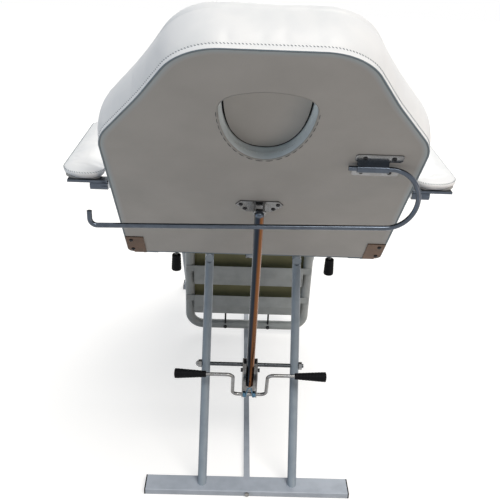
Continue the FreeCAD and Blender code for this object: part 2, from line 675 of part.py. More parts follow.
def strut_lock():
    wide = CHANNEL_HALF_WIDTH
    inner = wide - CHANNEL_WALL
    axle_hole = cross_rod(-CUT_REACH, CUT_REACH, 0, 0, AXLE_RADIUS + RUNNING_GAP)
    lever_hole = cross_rod(-CUT_REACH, CUT_REACH, -LEVER_FORWARD, -LEVER_BELOW, LEVER_RADIUS + RUNNING_GAP)
    flange = prism([(CHANNEL_BACK, CHANNEL_TOP), (-CHANNEL_FRONT + CHANNEL_CHAMFER, CHANNEL_TOP),
                    (-CHANNEL_FRONT, CHANNEL_TOP - CHANNEL_CHAMFER), (-CHANNEL_FRONT, -CHANNEL_BOTTOM),
                    (CHANNEL_BACK, -CHANNEL_BOTTOM)], inner, wide)
    web = box(-inner, inner, CHANNEL_BACK - CHANNEL_WALL, CHANNEL_BACK, -CHANNEL_BOTTOM, CHANNEL_TOP)
    channel = fuse([web, flange, mirrored(flange)]).cut(axle_hole).cut(lever_hole)
    nodes["lock_channel"] = placed(STRUT, channel)
    guide = box(-inner, inner, -STRUT_OFFSET - GUIDE_LIP, -AXLE_RADIUS - GUIDE_AXLE_GAP,
                -GUIDE_BELOW, CHANNEL_TOP)
    bore = rod(V(0, -STRUT_OFFSET, -CUT_REACH), V(0, -STRUT_OFFSET, CUT_REACH), STRUT_RADIUS + SLIDE_GAP)
    nodes["lock_guide"] = placed(STRUT, guide.cut(bore))
    bolt = cross_rod(wide, wide + LOCK_BOLT_HEIGHT, -STRUT_OFFSET, 0, LOCK_BOLT_RADIUS)
    nodes["lock_bolts"] = placed(STRUT, both_sides(bolt))


def grip(inner, along, length):
    return Part.makeCone(GRIP_RADIUS_INNER, GRIP_RADIUS_OUTER, length, inner, along)


def back_lever():
    y, z = lever_axis.y, lever_axis.z
    top_y = y - LEVER_REACH
    top_z = z + LEVER_RISE
    half = LEVER_HALF_THROAT
    end = LEVER_HALF_LENGTH - GRIP_END
    points = [V(-end, top_y, top_z), V(-half, top_y, top_z), V(-half, y, z),
              V(half, y, z), V(half, top_y, top_z), V(end, top_y, top_z)]
    inner = CHANNEL_HALF_WIDTH - CHANNEL_WALL - SIDE_GAP
    sleeve = cross_rod(-inner, inner, y, z, LEVER_SLEEVE_RADIUS)
    nodes["back_lever"] = fuse([bent_rod(points, (LEVER_BEND,) * 4, LEVER_RADIUS), sleeve])
    start = V(LEVER_HALF_LENGTH - GRIP_LENGTH, top_y, top_z)
    handle = grip(start, V(1, 0, 0), GRIP_LENGTH).cut(rod(start, V(end, top_y, top_z), LEVER_RADIUS))
    nodes["back_lever_grips"] = both_sides(handle)


def towel_bar():
    y, z = towel_axis.y, towel_axis.z
    bend = TOWEL_DROP / 2
    edge = TOWEL_BEND_X
    sag = math.radians(TOWEL_SAG)
    low = V(edge + bend * math.sin(sag), y, z - bend - bend * math.cos(sag))
    corner = V(TOWEL_END_X, y, low.z - (low.x - TOWEL_END_X) * math.tan(sag))
    tip = corner + V(0, 0, TOWEL_TIP)
    side_point = V(edge + bend, y, z - bend)
    mid = bend * math.sqrt(0.5)
    upper_mid = V(edge + mid, y, z - bend + mid)
    lower_mid = V(edge + mid, y, z - bend - mid)
    start, middle, end = arc_corner(low, corner, tip, TOWEL_TIP_BEND)
    edges = [
        Part.LineSegment(V(TOWEL_START_X, y, z), V(edge, y, z)).toShape(),
        Part.Arc(V(edge, y, z), upper_mid, side_point).toShape(),
        Part.Arc(side_point, lower_mid, low).toShape(),
        Part.LineSegment(low, start).toShape(),
        Part.Arc(start, middle, end).toShape(),
        Part.LineSegment(end, tip).toShape()]
    section = Part.Wire(Part.makeCircle(TOWEL_RADIUS, V(TOWEL_START_X, y, z), V(1, 0, 0)))
    nodes["towel_bar"] = Part.Wire(edges).makePipeShell([section], True, False)


def towel_saddle():
    x0 = SADDLE_X
    x1 = SADDLE_X + SADDLE_LENGTH
    mid = TOWEL_HEIGHT
    high = TOWEL_STANDOFF
    outer = TOWEL_RADIUS + SLIDE_GAP + SADDLE_WALL
    hump_x0 = x0 + SADDLE_HUMP_START
    hump_x1 = x1 - SADDLE_HUMP_END
    hump = box(hump_x0, hump_x1, mid - outer, mid + outer, 0, high)
    hump = hump.fuse(cross_rod(hump_x0, hump_x1, mid, high, outer))
    flanges = []
    for sign in (-1, 1):
        near = mid + sign * (SADDLE_HALF_HEIGHT - SADDLE_FLANGE)
        far = mid + sign * SADDLE_HALF_HEIGHT
        low, top = sorted((near, far))
        corners = ((x0, low), (x1, low), (x1, top), (x0, top))
        flanges.append(board(corners, (SADDLE_CORNER,) * 4, 0, 0, PLATE_THICKNESS))
        web = sorted((mid + sign * outer * 0.5, near))
        flanges.append(box(hump_x0, hump_x1, web[0], web[1], 0, PLATE_THICKNESS))
        for x in (x0 + SADDLE_LENGTH * 0.2, x0 + SADDLE_LENGTH * 0.8):
            back_screws.append(screw(x, (near + far) / 2, PLATE_THICKNESS))
    body = fuse([hump] + flanges).cut(cross_rod(x0, x1, mid, high, TOWEL_RADIUS + SLIDE_GAP))
    nodes["towel_saddle"] = placed(BACK, body)


def leg_rest():
    half = LEG_FRAME_WIDTH / 2 - LEG_TUBE_RADIUS
    end = LEG_FRAME_LENGTH
    start = LEG_ROD_RADIUS + PLATE_THICKNESS
    points = [V(-half, start, 0), V(-half, end, 0), V(half, end, 0), V(half, start, 0)]
    loop = bent_rod(points, (LEG_FRAME_BEND,) * 2, LEG_TUBE_RADIUS)
    outer = LEG_FRAME_WIDTH / 2
    sleeve = cross_rod(outer - LEG_SLEEVE_LENGTH, outer - PLATE_THICKNESS, 0, 0, LEG_SLEEVE_RADIUS)
    bore = cross_rod(-outer, outer, 0, 0, LEG_ROD_RADIUS + RUNNING_GAP)
    loop = fuse([loop, sleeve, mirrored(sleeve)]).cut(bore)
    nodes["leg_frame"] = placed(LEG, loop)
    under = -LEG_TUBE_RADIUS
    inside = half - LEG_TUBE_RADIUS
    slats = []
    for low in SLAT_STARTS:
        high = low + SLAT_HEIGHT
        fold = (low + high) / 2
        ridge = under - SLAT_FOLD
        face = prism([(low, under), (fold, ridge), (high, under), (high, under - SLAT_THICKNESS),
                      (fold, ridge - SLAT_THICKNESS), (low, under - SLAT_THICKNESS)], -inside, inside)
        tab = box(inside - SLAT_THICKNESS, outer - SLAT_TAB_INSET, low, low + SLAT_TAB_HEIGHT,
                  under - SLAT_THICKNESS, under)
        slats.append(fuse([face, tab, mirrored(tab)]))
    nodes["leg_slats"] = placed(LEG, Part.makeCompound(slats))
    wide = LEG_CUSHION_HALF_WIDTH
    points = ((-wide, LEG_BOARD_START), (wide, LEG_BOARD_START), (wide, LEG_BOARD_END), (-wide, LEG_BOARD_END))
    radii = (LOWER_RADIUS, LOWER_RADIUS, LEG_FRAME_BEND, LEG_FRAME_BEND)
    top = LEG_TUBE_RADIUS + LEG_BOARD_THICKNESS
    nodes["leg_board"] = placed(LEG, board(points, radii, -BOARD_INSET / 2, LEG_TUBE_RADIUS, top))
    pad = cushion(points, radii, LEG_FOAM, LEG_BULGE, CROWN, wide)
    pad.translate(V(0, 0, top))
    nodes["leg_cushion"] = placed(LEG, pad)
    stud_start = SLAT_STARTS[-1] + SLAT_HEIGHT
    for x in (-LEG_STUD_X, LEG_STUD_X):
        stud = rod(V(x, stud_start, LEG_STUD_LEVEL), V(x, end, LEG_STUD_LEVEL), LEG_STUD_RADIUS)
        leg_bolts.append(stud.cut(loop))
        leg_bolts.append(rod(V(x, end, under - LEG_BOLT_HEIGHT), V(x, end, 0), LEG_BOLT_RADIUS).cut(loop))


def leg_hinge():
    y, z = leg_pivot.y, leg_pivot.z
    half = LEG_FRAME_WIDTH / 2 + PIN_END
    nodes["leg_hinge_rod"] = cross_rod(-half, half, y, z, LEG_ROD_RADIUS)
    x1 = LEG_FRAME_WIDTH / 2 - LEG_SLEEVE_LENGTH - SIDE_GAP
    x0 = x1 - HINGE_PLATE * 2
    ear = fuse([cross_rod(x0, x1, y, z, LEG_SLEEVE_RADIUS + PLATE_THICKNESS),
                box(x0, x1, FRONT_TUBE_Y, y, z - TUBE_RADIUS + SIDE_GAP * 2, z + TUBE_RADIUS - SIDE_GAP * 2)])
    ear = ear.cut(cross_rod(x0, x1, y, z, LEG_ROD_RADIUS))
    ear = ear.cut(cross_rod(x0, x1, FRONT_TUBE_Y, rail_z, TUBE_RADIUS))
    nodes["leg_hinge_ears"] = both_sides(ear)


def leg_support():
    pin = LEG_STRUT_PIN_RADIUS
    eye = LEG_STRUT_TUBE_RADIUS
    y, z = leg_lock.y, leg_lock.z
    gap = eye + SIDE_GAP
    rear = y - LEG_LEVER_BACK - LOCK_EAR_MARGIN
    low = z - LOCK_EAR_MARGIN
    top = rail_z - EAR_THICKNESS
    ear = prism([(rear, z + LEG_STRUT_ROD_RADIUS), (rear, low), (y + eye, low), (y + eye, top), (y - eye, top)],
                gap, gap + EAR_THICKNESS)
    ear = ear.cut(cross_rod(0, CUT_REACH, y, z, pin))
    ear = ear.cut(cross_rod(0, CUT_REACH, leg_lever_axis.y, leg_lever_axis.z, LEVER_RADIUS + RUNNING_GAP))
    ear = ear.cut(cross_rod(0, CUT_REACH, y, rail_z, TUBE_RADIUS))
    nodes["leg_lock_ears"] = both_sides(ear)
    nodes["leg_lock_pin"] = cross_rod(-gap - EAR_THICKNESS - PLATE_THICKNESS, gap + EAR_THICKNESS + PLATE_THICKNESS, y, z, pin)

    tube_end = LEG_STRUT_TUBE_LENGTH
    head = cross_rod(-eye, eye, 0, 0, eye).cut(cross_rod(-eye, eye, 0, 0, pin + RUNNING_GAP))
    neck = rod(V(0, 0, eye * 0.6), V(0, 0, tube_end), eye).cut(cross_rod(-CUT_REACH, CUT_REACH, 0, 0, eye))
    neck = neck.cut(rod(V(0, 0, eye + LEG_STRUT_BLIND), V(0, 0, tube_end), LEG_STRUT_ROD_RADIUS + SLIDE_GAP))
    nodes["leg_strut_tube"] = placed(LEG_STRUT, fuse([head, neck]))

    span = leg_strut_span
    reach = LEG_STRUT_ROD_RADIUS
    knob = cross_rod(-reach, reach, 0, span, reach).cut(cross_rod(-reach, reach, 0, span, pin + RUNNING_GAP))
    shaft = rod(V(0, 0, span - LEG_STRUT_ROD_LENGTH), V(0, 0, span - reach * 0.6), reach)
    shaft = shaft.cut(cross_rod(-CUT_REACH, CUT_REACH, 0, span, reach))
    nodes["leg_strut_rod"] = placed(LEG_STRUT, fuse([knob, shaft]))

    under = -LEG_TUBE_RADIUS
    spot = LEG_STRUT_REACH
    drop = -LEG_STRUT_DROP
    near = reach + SIDE_GAP
    lug_seat = under - SLAT_FOLD - SLAT_THICKNESS
    lug = fuse([box(near, near + EAR_THICKNESS, spot - reach, spot + reach, drop, lug_seat),
                cross_rod(near, near + EAR_THICKNESS, spot, drop, reach),
                box(-near - LEG_LUG_FOOT, near + LEG_LUG_FOOT, spot - reach, spot + reach, lug_seat - SLAT_THICKNESS, lug_seat)])
    pin_half = near + EAR_THICKNESS + PLATE_THICKNESS
    shaft = cross_rod(-pin_half, pin_half, spot, drop, pin)
    leg_bolts.append(shaft)
    lug = fuse([lug, mirrored(lug)]).cut(shaft)
    nodes["leg_strut_lugs"] = placed(LEG, lug)


def leg_lever():
    y, z = leg_lever_axis.y, leg_lever_axis.z
    wide = LEG_LEVER_X
    end = LEG_GRIP_Z - LEG_GRIP_LENGTH + GRIP_END
    points = [V(-wide, LEG_GRIP_Y, end), V(-wide, LEG_GRIP_Y, LEG_GRIP_Z), V(-wide, y, z),
              V(wide, y, z), V(wide, LEG_GRIP_Y, LEG_GRIP_Z), V(wide, LEG_GRIP_Y, end)]
    nodes["leg_lever"] = bent_rod(points, (LEG_GRIP_BEND, LEVER_BEND, LEVER_BEND, LEG_GRIP_BEND), LEVER_RADIUS)
    top = V(wide, LEG_GRIP_Y, LEG_GRIP_Z - LEG_GRIP_BELOW)
    handle = Part.makeCone(LEG_GRIP_RADIUS * LEG_GRIP_TAPER, LEG_GRIP_RADIUS, LEG_GRIP_LENGTH - LEG_GRIP_BELOW,
                           top, V(0, 0, -1))
    nodes["leg_lever_grips"] = both_sides(handle.cut(nodes["leg_lever"]))


def armrests():
    y, z = arm_pivot.y, arm_pivot.z
    edge = BACK_WIDTH / 2
    inner = edge + ARM_GAP
    outer = inner + ARM_WIDTH
    pin_end = inner + ARM_WIDTH * ARM_PIN_SHARE
    collar_end = edge + ARM_COLLAR
    stub = cross_rod(edge, pin_end, y, z, ARM_PIN_RADIUS)
    collar = cross_rod(edge, collar_end, y, z, BOARD_THICKNESS / 2)
    pin = fuse([stub, collar])
    barrel = cross_rod(collar_end + SIDE_GAP, pin_end, y, z, ARM_BARREL_RADIUS)
    barrel = barrel.cut(cross_rod(edge, outer, y, z, ARM_PIN_RADIUS + RUNNING_GAP))
    low = z + ARM_LIFT - ARM_BAR_THICKNESS
    arm = box(collar_end + SIDE_GAP, outer - ARM_BAR_INSET, y - ARM_BAR_WIDTH / 2, y + ARM_BAR_WIDTH / 2,
              low, low + ARM_BAR_THICKNESS)
    spine = box(inner + ARM_SPINE_INSET, outer - ARM_SPINE_INSET, y, y + ARM_LENGTH * ARM_SPINE_SHARE,
                low, low + ARM_BAR_THICKNESS)
    arm = fuse([arm, spine, barrel]).cut(cross_rod(edge, outer, y, z, ARM_PIN_RADIUS + RUNNING_GAP))
    rear = y - ARM_BEHIND
    points = ((inner, rear), (outer, rear), (outer, rear + ARM_LENGTH), (inner, rear + ARM_LENGTH))
    radii = (ARM_INNER_RADIUS, ARM_OUTER_RADIUS, ARM_OUTER_RADIUS, ARM_INNER_RADIUS)
    base = z + ARM_LIFT
    shelf = board(points, radii, -ARM_BASE, base, base + ARM_BASE)
    pad = cushion(points, radii, ARM_FOAM, ARM_BULGE, ARM_CROWN, ARM_WIDTH / 2 - ARM_BULGE)
    pad.translate(V(0, 0, base + ARM_BASE))
    nodes["arm_pins"] = both_sides(pin)
    for name, shape in (("arm_bracket", arm), ("arm_board", shelf), ("arm_pad", pad)):
        nodes[name + "_right"] = shape
        nodes[name + "_left"] = mirrored(shape)


stand()
seat_frame()
cross_axle()
seat()
back_hinge()
backrest()
corner_plates()
strut_bracket()
strut()
strut_lock()
back_lever()
towel_bar()
towel_saddle()
leg_rest()
leg_hinge()
leg_support()
leg_lever()
armrests()
nodes["end_caps"] = Part.makeCompound(end_caps)
nodes["frame_bolts"] = Part.makeCompound(frame_bolts)
nodes["back_screws"] = placed(BACK, Part.makeCompound(back_screws))
nodes["leg_bolts"] = placed(LEG, Part.makeCompound(leg_bolts))

whole = Part.makeCompound(list(nodes.values())).BoundBox
shift = V(-(whole.XMin + whole.XMax) / 2, -(whole.YMin + whole.YMax) / 2, -whole.ZMin)

os.makedirs("parts", exist_ok=True)
for name, shape in nodes.items():
    piece = shape.copy()
    piece.translate(shift)
    piece.exportStep("parts/" + name + ".step")
    print(name, len(piece.Solids), piece.isValid(), round(piece.Volume))
print("nodes", len(nodes), "shift", [round(v, 3) for v in shift])
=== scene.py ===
import math

import bpy
import numpy as np
from mathutils import Matrix, Vector


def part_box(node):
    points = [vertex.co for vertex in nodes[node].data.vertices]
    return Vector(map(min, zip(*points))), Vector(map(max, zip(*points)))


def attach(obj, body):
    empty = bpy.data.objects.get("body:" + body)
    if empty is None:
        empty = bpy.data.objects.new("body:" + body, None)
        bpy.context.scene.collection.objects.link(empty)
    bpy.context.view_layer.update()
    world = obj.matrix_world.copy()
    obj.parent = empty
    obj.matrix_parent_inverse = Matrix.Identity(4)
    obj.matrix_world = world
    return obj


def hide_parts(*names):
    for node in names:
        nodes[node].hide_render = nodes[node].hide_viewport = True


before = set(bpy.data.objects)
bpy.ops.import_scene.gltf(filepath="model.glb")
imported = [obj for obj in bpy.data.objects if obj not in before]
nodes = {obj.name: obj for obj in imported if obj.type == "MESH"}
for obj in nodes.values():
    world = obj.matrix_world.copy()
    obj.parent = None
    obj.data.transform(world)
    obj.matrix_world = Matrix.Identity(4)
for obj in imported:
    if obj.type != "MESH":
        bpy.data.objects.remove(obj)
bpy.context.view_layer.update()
scene = bpy.context.scene
mm = 0.001

# Where the tilted parts stand, in metres: x across, y along the panel, z out of it
backFrame = {"origin": (0.0, -0.217833, 0.564), "along": 180 - 48.8}
legFrame = {"origin": (0.0, 0.289167, 0.507), "along": -82.0}
strutFrame = {"origin": (0.0, -0.251419, 0.271), "along": 17.0667}


def panelMatrix(origin, degrees):
    angle = math.radians(degrees)
    along = Vector((0, math.cos(angle), math.sin(angle)))
    across = Vector((1, 0, 0))
    out = across.cross(along)
    turn = Matrix((across, along, out)).transposed().to_4x4()
    return Matrix.Translation(origin) @ turn


backPlace = panelMatrix(backFrame["origin"], backFrame["along"])
legPlace = panelMatrix(legFrame["origin"], legFrame["along"])
strutPlace = panelMatrix(strutFrame["origin"], strutFrame["along"])
print("frame loaded,", len(nodes), "solids")


# Materials

def hexColour(code):
    def channel(pair):
        value = int(pair, 16) / 255
        return value / 12.92 if value <= 0.04045 else ((value + 0.055) / 1.055) ** 2.4
    return tuple(channel(code[k:k + 2]) for k in (1, 3, 5)) + (1.0,)


def addNode(tree, kind, settings=None, links=None):
    node = tree.nodes.new(kind)
    for key, value in (settings or {}).items():
        if isinstance(key, int) or key in node.inputs:
            node.inputs[key].default_value = value
        else:
            setattr(node, key, value)
    for key, socket in (links or {}).items():
        tree.links.new(socket, node.inputs[key])
    return node


def perMetre(sizeMm):
    return 1000.0 / sizeMm


def newMaterial(name):
    material = bpy.data.materials.new(name)
    material.use_nodes = True
    tree = material.node_tree
    shader = tree.nodes["Principled BSDF"]
    place = addNode(tree, "ShaderNodeTexCoord")
    return material, tree, shader, place.outputs["Object"]


def upholsteryVinyl(name, colour, shade, grainMm, rough):
    # PVC-coated cloth, embossed with a fine leather grain: a soft broad shine that breaks up in the grain
    material, tree, shader, place = newMaterial(name)
    grain = addNode(tree, "ShaderNodeTexVoronoi", {"feature": "DISTANCE_TO_EDGE", "Scale": perMetre(grainMm)},
                    {"Vector": place})
    pores = addNode(tree, "ShaderNodeTexNoise", {"Scale": perMetre(grainMm * 0.4), "Detail": 3.0}, {"Vector": place})
    creases = addNode(tree, "ShaderNodeTexNoise", {"Scale": perMetre(55), "Detail": 2.0, "Distortion": 0.6},
                      {"Vector": place})
    soil = addNode(tree, "ShaderNodeMapRange", {"From Min": 0.35, "From Max": 0.75}, {"Value": creases.outputs["Fac"]})
    tint = addNode(tree, "ShaderNodeMix", {"data_type": "RGBA", 6: hexColour(colour), 7: hexColour(shade)},
                   {0: soil.outputs["Result"]})
    gloss = addNode(tree, "ShaderNodeMapRange", {"To Min": rough - 0.05, "To Max": rough + 0.07},
                    {"Value": pores.outputs["Fac"]})
    emboss = addNode(tree, "ShaderNodeMapRange", {"From Max": 0.12}, {"Value": grain.outputs["Distance"]})
    bumpGrain = addNode(tree, "ShaderNodeBump", {"Strength": 0.16, "Distance": 0.15 * mm},
                        {"Height": emboss.outputs["Result"]})
    bumpPores = addNode(tree, "ShaderNodeBump", {"Strength": 0.1, "Distance": 0.1 * mm},
                        {"Height": pores.outputs["Fac"], "Normal": bumpGrain.outputs["Normal"]})
    tree.links.new(tint.outputs[2], shader.inputs["Base Color"])
    tree.links.new(gloss.outputs["Result"], shader.inputs["Roughness"])
    tree.links.new(bumpPores.outputs["Normal"], shader.inputs["Normal"])
    shader.inputs["IOR"].default_value = 1.48
    return material


def facedBoard(name, colour, shade, fibreMm, rough):
    # hardboard with a painted face: matt, faintly cloudy, a pressed fibre, drawn coarser than real so that it shows
    material, tree, shader, place = newMaterial(name)
    cloud = addNode(tree, "ShaderNodeTexNoise", {"Scale": perMetre(90), "Detail": 4.0}, {"Vector": place})
    fibre = addNode(tree, "ShaderNodeTexNoise", {"Scale": perMetre(fibreMm), "Detail": 4.0, "Roughness": 0.65},
                    {"Vector": place})
    blend = addNode(tree, "ShaderNodeMath", {"operation": "MULTIPLY_ADD", 1: 0.35},
                    {0: fibre.outputs["Fac"], 2: cloud.outputs["Fac"]})
    level = addNode(tree, "ShaderNodeMapRange", {"From Min": 0.45, "From Max": 0.9}, {"Value": blend.outputs[0]})
    tint = addNode(tree, "ShaderNodeMix", {"data_type": "RGBA", 6: hexColour(colour), 7: hexColour(shade)},
                   {0: level.outputs["Result"]})
    gloss = addNode(tree, "ShaderNodeMapRange", {"To Min": rough - 0.06, "To Max": rough + 0.06},
                    {"Value": fibre.outputs["Fac"]})
    bump = addNode(tree, "ShaderNodeBump", {"Strength": 0.25, "Distance": 0.12 * mm}, {"Height": fibre.outputs["Fac"]})
    tree.links.new(tint.outputs[2], shader.inputs["Base Color"])
    tree.links.new(gloss.outputs["Result"], shader.inputs["Roughness"])
    tree.links.new(bump.outputs["Normal"], shader.inputs["Normal"])
    return material


def powderCoat(name, colour, shade, peelMm, rough):
    # steel tube with baked powder paint: satin, with orange peel and a little dulling
    material, tree, shader, place = newMaterial(name)
    peel = addNode(tree, "ShaderNodeTexNoise", {"Scale": perMetre(peelMm), "Detail": 1.5}, {"Vector": place})
    dust = addNode(tree, "ShaderNodeTexNoise", {"Scale": perMetre(40), "Detail": 5.0}, {"Vector": place})
    level = addNode(tree, "ShaderNodeMapRange", {"From Min": 0.4, "From Max": 0.7}, {"Value": dust.outputs["Fac"]})
    tint = addNode(tree, "ShaderNodeMix", {"data_type": "RGBA", 6: hexColour(colour), 7: hexColour(shade)},
                   {0: level.outputs["Result"]})
    gloss = addNode(tree, "ShaderNodeMapRange", {"To Min": rough - 0.05, "To Max": rough + 0.1},
                    {"Value": dust.outputs["Fac"]})
    bump = addNode(tree, "ShaderNodeBump", {"Strength": 0.12, "Distance": 0.1 * mm}, {"Height": peel.outputs["Fac"]})
    tree.links.new(tint.outputs[2], shader.inputs["Base Color"])
    tree.links.new(gloss.outputs["Result"], shader.inputs["Roughness"])
    tree.links.new(bump.outputs["Normal"], shader.inputs["Normal"])
    return material


def platedMetal(name, colour, shade, smearMm, rough):
    # plating on drawn steel: mirror-like, with faint smears that spread the reflection
    material, tree, shader, place = newMaterial(name)
    smear = addNode(tree, "ShaderNodeTexNoise", {"Scale": perMetre(smearMm), "Detail": 5.0, "Roughness": 0.6},
                    {"Vector": place})
    level = addNode(tree, "ShaderNodeMapRange", {"From Min": 0.4, "From Max": 0.75}, {"Value": smear.outputs["Fac"]})
    tint = addNode(tree, "ShaderNodeMix", {"data_type": "RGBA", 6: hexColour(colour), 7: hexColour(shade)},
                   {0: level.outputs["Result"]})
    gloss = addNode(tree, "ShaderNodeMapRange",
                    {"From Min": 0.3, "From Max": 0.8, "To Min": rough, "To Max": rough + 0.12},
                    {"Value": smear.outputs["Fac"]})
    tree.links.new(tint.outputs[2], shader.inputs["Base Color"])
    tree.links.new(gloss.outputs["Result"], shader.inputs["Roughness"])
    shader.inputs["Metallic"].default_value = 1.0
    return material


def tubeWithPaintedReflection(name, darkReflection, colour, bandMm, rough):
    # a metal tube whose colours are a painted reflection: a broad dark band beside a brown one, along its length
    material, tree, shader, place = newMaterial(name)
    stretch = addNode(tree, "ShaderNodeMapping", {"Scale": (perMetre(bandMm), 0.5, 0.5)}, {"Vector": place})
    reflectionBands = addNode(tree, "ShaderNodeTexNoise", {"Scale": 1.0, "Detail": 2.0}, {"Vector": stretch.outputs["Vector"]})
    level = addNode(tree, "ShaderNodeMapRange", {"From Min": 0.46, "From Max": 0.54}, {"Value": reflectionBands.outputs["Fac"]})
    tint = addNode(tree, "ShaderNodeMix", {"data_type": "RGBA", 6: hexColour(darkReflection), 7: hexColour(colour)},
                   {0: level.outputs["Result"]})
    tree.links.new(tint.outputs[2], shader.inputs["Base Color"])
    shader.inputs["Roughness"].default_value = rough
    shader.inputs["Metallic"].default_value = 1.0
    return material


def mouldedPlastic(name, colour, shade, sparkMm, rough):
    # dipped soft PVC: dark, spark-eroded skin with hardly any sheen, its pits drawn coarser than real so that they show
    material, tree, shader, place = newMaterial(name)
    spark = addNode(tree, "ShaderNodeTexNoise", {"Scale": perMetre(sparkMm), "Detail": 3.0}, {"Vector": place})
    level = addNode(tree, "ShaderNodeMapRange", {"From Min": 0.35, "From Max": 0.7}, {"Value": spark.outputs["Fac"]})
    tint = addNode(tree, "ShaderNodeMix", {"data_type": "RGBA", 6: hexColour(colour), 7: hexColour(shade)},
                   {0: level.outputs["Result"]})
    gloss = addNode(tree, "ShaderNodeMapRange", {"To Min": rough - 0.06, "To Max": rough + 0.08},
                    {"Value": spark.outputs["Fac"]})
    bump = addNode(tree, "ShaderNodeBump", {"Strength": 0.2, "Distance": 0.1 * mm}, {"Height": spark.outputs["Fac"]})
    shader.inputs["Specular IOR Level"].default_value = 0.12
    tree.links.new(tint.outputs[2], shader.inputs["Base Color"])
    tree.links.new(gloss.outputs["Result"], shader.inputs["Roughness"])
    tree.links.new(bump.outputs["Normal"], shader.inputs["Normal"])
    return material


def boardWithPaintedHighlight(name, colour, edge, fibreMm, rough):
    # the painted board with a painted highlight and cool reflection mixed in by a per-point amount, standing in for a
    # rolled edge catching the light
    material = facedBoard(name, colour, colour, fibreMm, rough)
    tree = material.node_tree
    shader = tree.nodes["Principled BSDF"]
    amount = addNode(tree, "ShaderNodeAttribute", {"attribute_name": "paintedEdgeHighlight"})
    flat = shader.inputs["Base Color"].links[0].from_socket
    tint = addNode(tree, "ShaderNodeMix", {"data_type": "RGBA", 7: hexColour(edge)},
                   {0: amount.outputs["Fac"], 6: flat})
    tree.links.new(tint.outputs[2], shader.inputs["Base Color"])
    return material


finishes = {
    "vinyl": upholsteryVinyl("whiteUpholsteryVinyl", "#F6F6F6", "#EFF0F1", 1.8, 0.42),
    # the white vinyl made grey-blue: painted shade inside the face hole
    "liner": upholsteryVinyl("linerVinylPaintedShade", "#DCE6E9", "#D0DADD", 1.8, 0.5),
    # a dark strip where the cover turns under at the board: painted shade of the gap
    "gapShade": upholsteryVinyl("gapShadeStrip", "#6E7C85", "#626F78", 1.2, 0.5),
    # white thread made grey: painted shade of the stitches in the cover
    "thread": upholsteryVinyl("threadPaintedShade", "#858D92", "#747C81", 0.6, 0.6),
    "darkThread": upholsteryVinyl("darkPolyesterThread", "#3A4248", "#2B3135", 0.6, 0.6),
    "board": facedBoard("paintedHardboard", "#A8A6A3", "#9E9C99", 1.6, 0.55),
    # board colour with a paler, cooler colour mixed in at its edge: painted highlight
    "panelEdgeHighlight": boardWithPaintedHighlight("hardboardPaintedHighlight", "#A5A3A1", "#A4B0B6", 1.6, 0.55),
    "legBoard": facedBoard("oliveHardboard", "#7E7C5A", "#68684A", 1.6, 0.6),
    "paint": powderCoat("greyPowderCoat", "#ABB2BC", "#9DA4AE", 1.4, 0.36),
    # a darker, bluer copy of the grey powder coat for the legs and rails: painted shade under the bed
    "tubePaint": powderCoat("powderCoatPaintedShade", "#8A959F", "#7D8892", 1.4, 0.34),
    # a warmer copy of the grey powder coat for the leg rest frame: painted bounce light from the olive board
    "oliveBounceLegPaint": powderCoat("powderCoatPaintedOliveBounce", "#A4A8A7", "#969A99", 1.4, 0.38),
    "chrome": platedMetal("brightChromePlate", "#B4B7BB", "#A09F9E", 18, 0.06),
    # chrome with its base darkened: a painted dark reflection of the surroundings
    "smokedChrome": platedMetal("darkReflectionChromePlate", "#535A64", "#484E57", 18, 0.08),
    # chrome, partly duller plating by its roughness; its greyed base is a painted dimmer reflection of the surroundings
    "dimReflectionChrome": platedMetal("dimReflectionChromePlate", "#898A8C", "#75736F", 14, 0.14),
    # the strut: a painted reflection, dark on one side and brown on the other, not the metal's own colour
    "strutReflectionTones": tubeWithPaintedReflection("strutPaintedReflection", "#262D36", "#774A25", 9, 0.16),
    # plates tinted brown: a painted reflection of warm surroundings
    "brownReflectionPlate": platedMetal("platePaintedBrownReflection", "#4A2D10", "#3B250F", 18, 0.18),
    # plated steel with its base darkened: a painted dark reflection
    "axleDarkReflectionSteel": platedMetal("steelPaintedDarkReflection", "#4C4F52", "#3E4043", 8, 0.2),
    "blueZinc": platedMetal("blueZincPlate", "#5E8199", "#4A6A80", 4, 0.3),
    "zinc": platedMetal("zincPlatedSteel", "#8F8E8D", "#6E6A66", 6, 0.26),
    "oxide": platedMetal("blackOxideSteel", "#343436", "#232325", 5, 0.34),
    "black": mouldedPlastic("blackMouldedPvc", "#040508", "#08090D", 1.2, 0.6),
}
finishOfNode = {
    "paint": ["head_bar", "foot_bar", "base_beam", "leg_strut_tube"],
    "tubePaint": ["rear_leg_right", "rear_leg_left", "front_leg_right", "front_leg_left", "front_tube", "rail_right",
                  "rail_left", "rear_tube", "lock_tube", "leg_hinge_ears", "leg_lock_ears", "seat_hinges"],
    "oliveBounceLegPaint": ["leg_frame", "leg_slats", "leg_strut_lugs"],
    "chrome": ["leg_strut_rod", "leg_lever", "arm_pins"],
    "dimReflectionChrome": ["back_lever", "towel_saddle", "strut_bracket", "hinge_arms", "axle_nuts"],
    "strutReflectionTones": ["strut"],
    "brownReflectionPlate": ["corner_plates"],
    "smokedChrome": ["towel_bar", "arm_bracket_left", "arm_bracket_right"],
    "axleDarkReflectionSteel": ["cross_axle"],
    "zinc": ["strut_pin", "hinge_pins", "leg_hinge_rod", "leg_lock_pin", "frame_bolts", "back_screws", "strut_tip",
             "lock_channel", "lock_guide"],
    "oxide": ["leg_bolts", "lock_bolts"],
    "black": ["end_caps", "back_lever_grips", "leg_lever_grips"],
    "board": ["seat_board", "back_board", "arm_board_left", "arm_board_right"],
    "legBoard": ["leg_board"],
}
for finish, members in finishOfNode.items():
    for name in members:
        nodes[name].data.materials.clear()
        nodes[name].data.materials.append(finishes[finish])

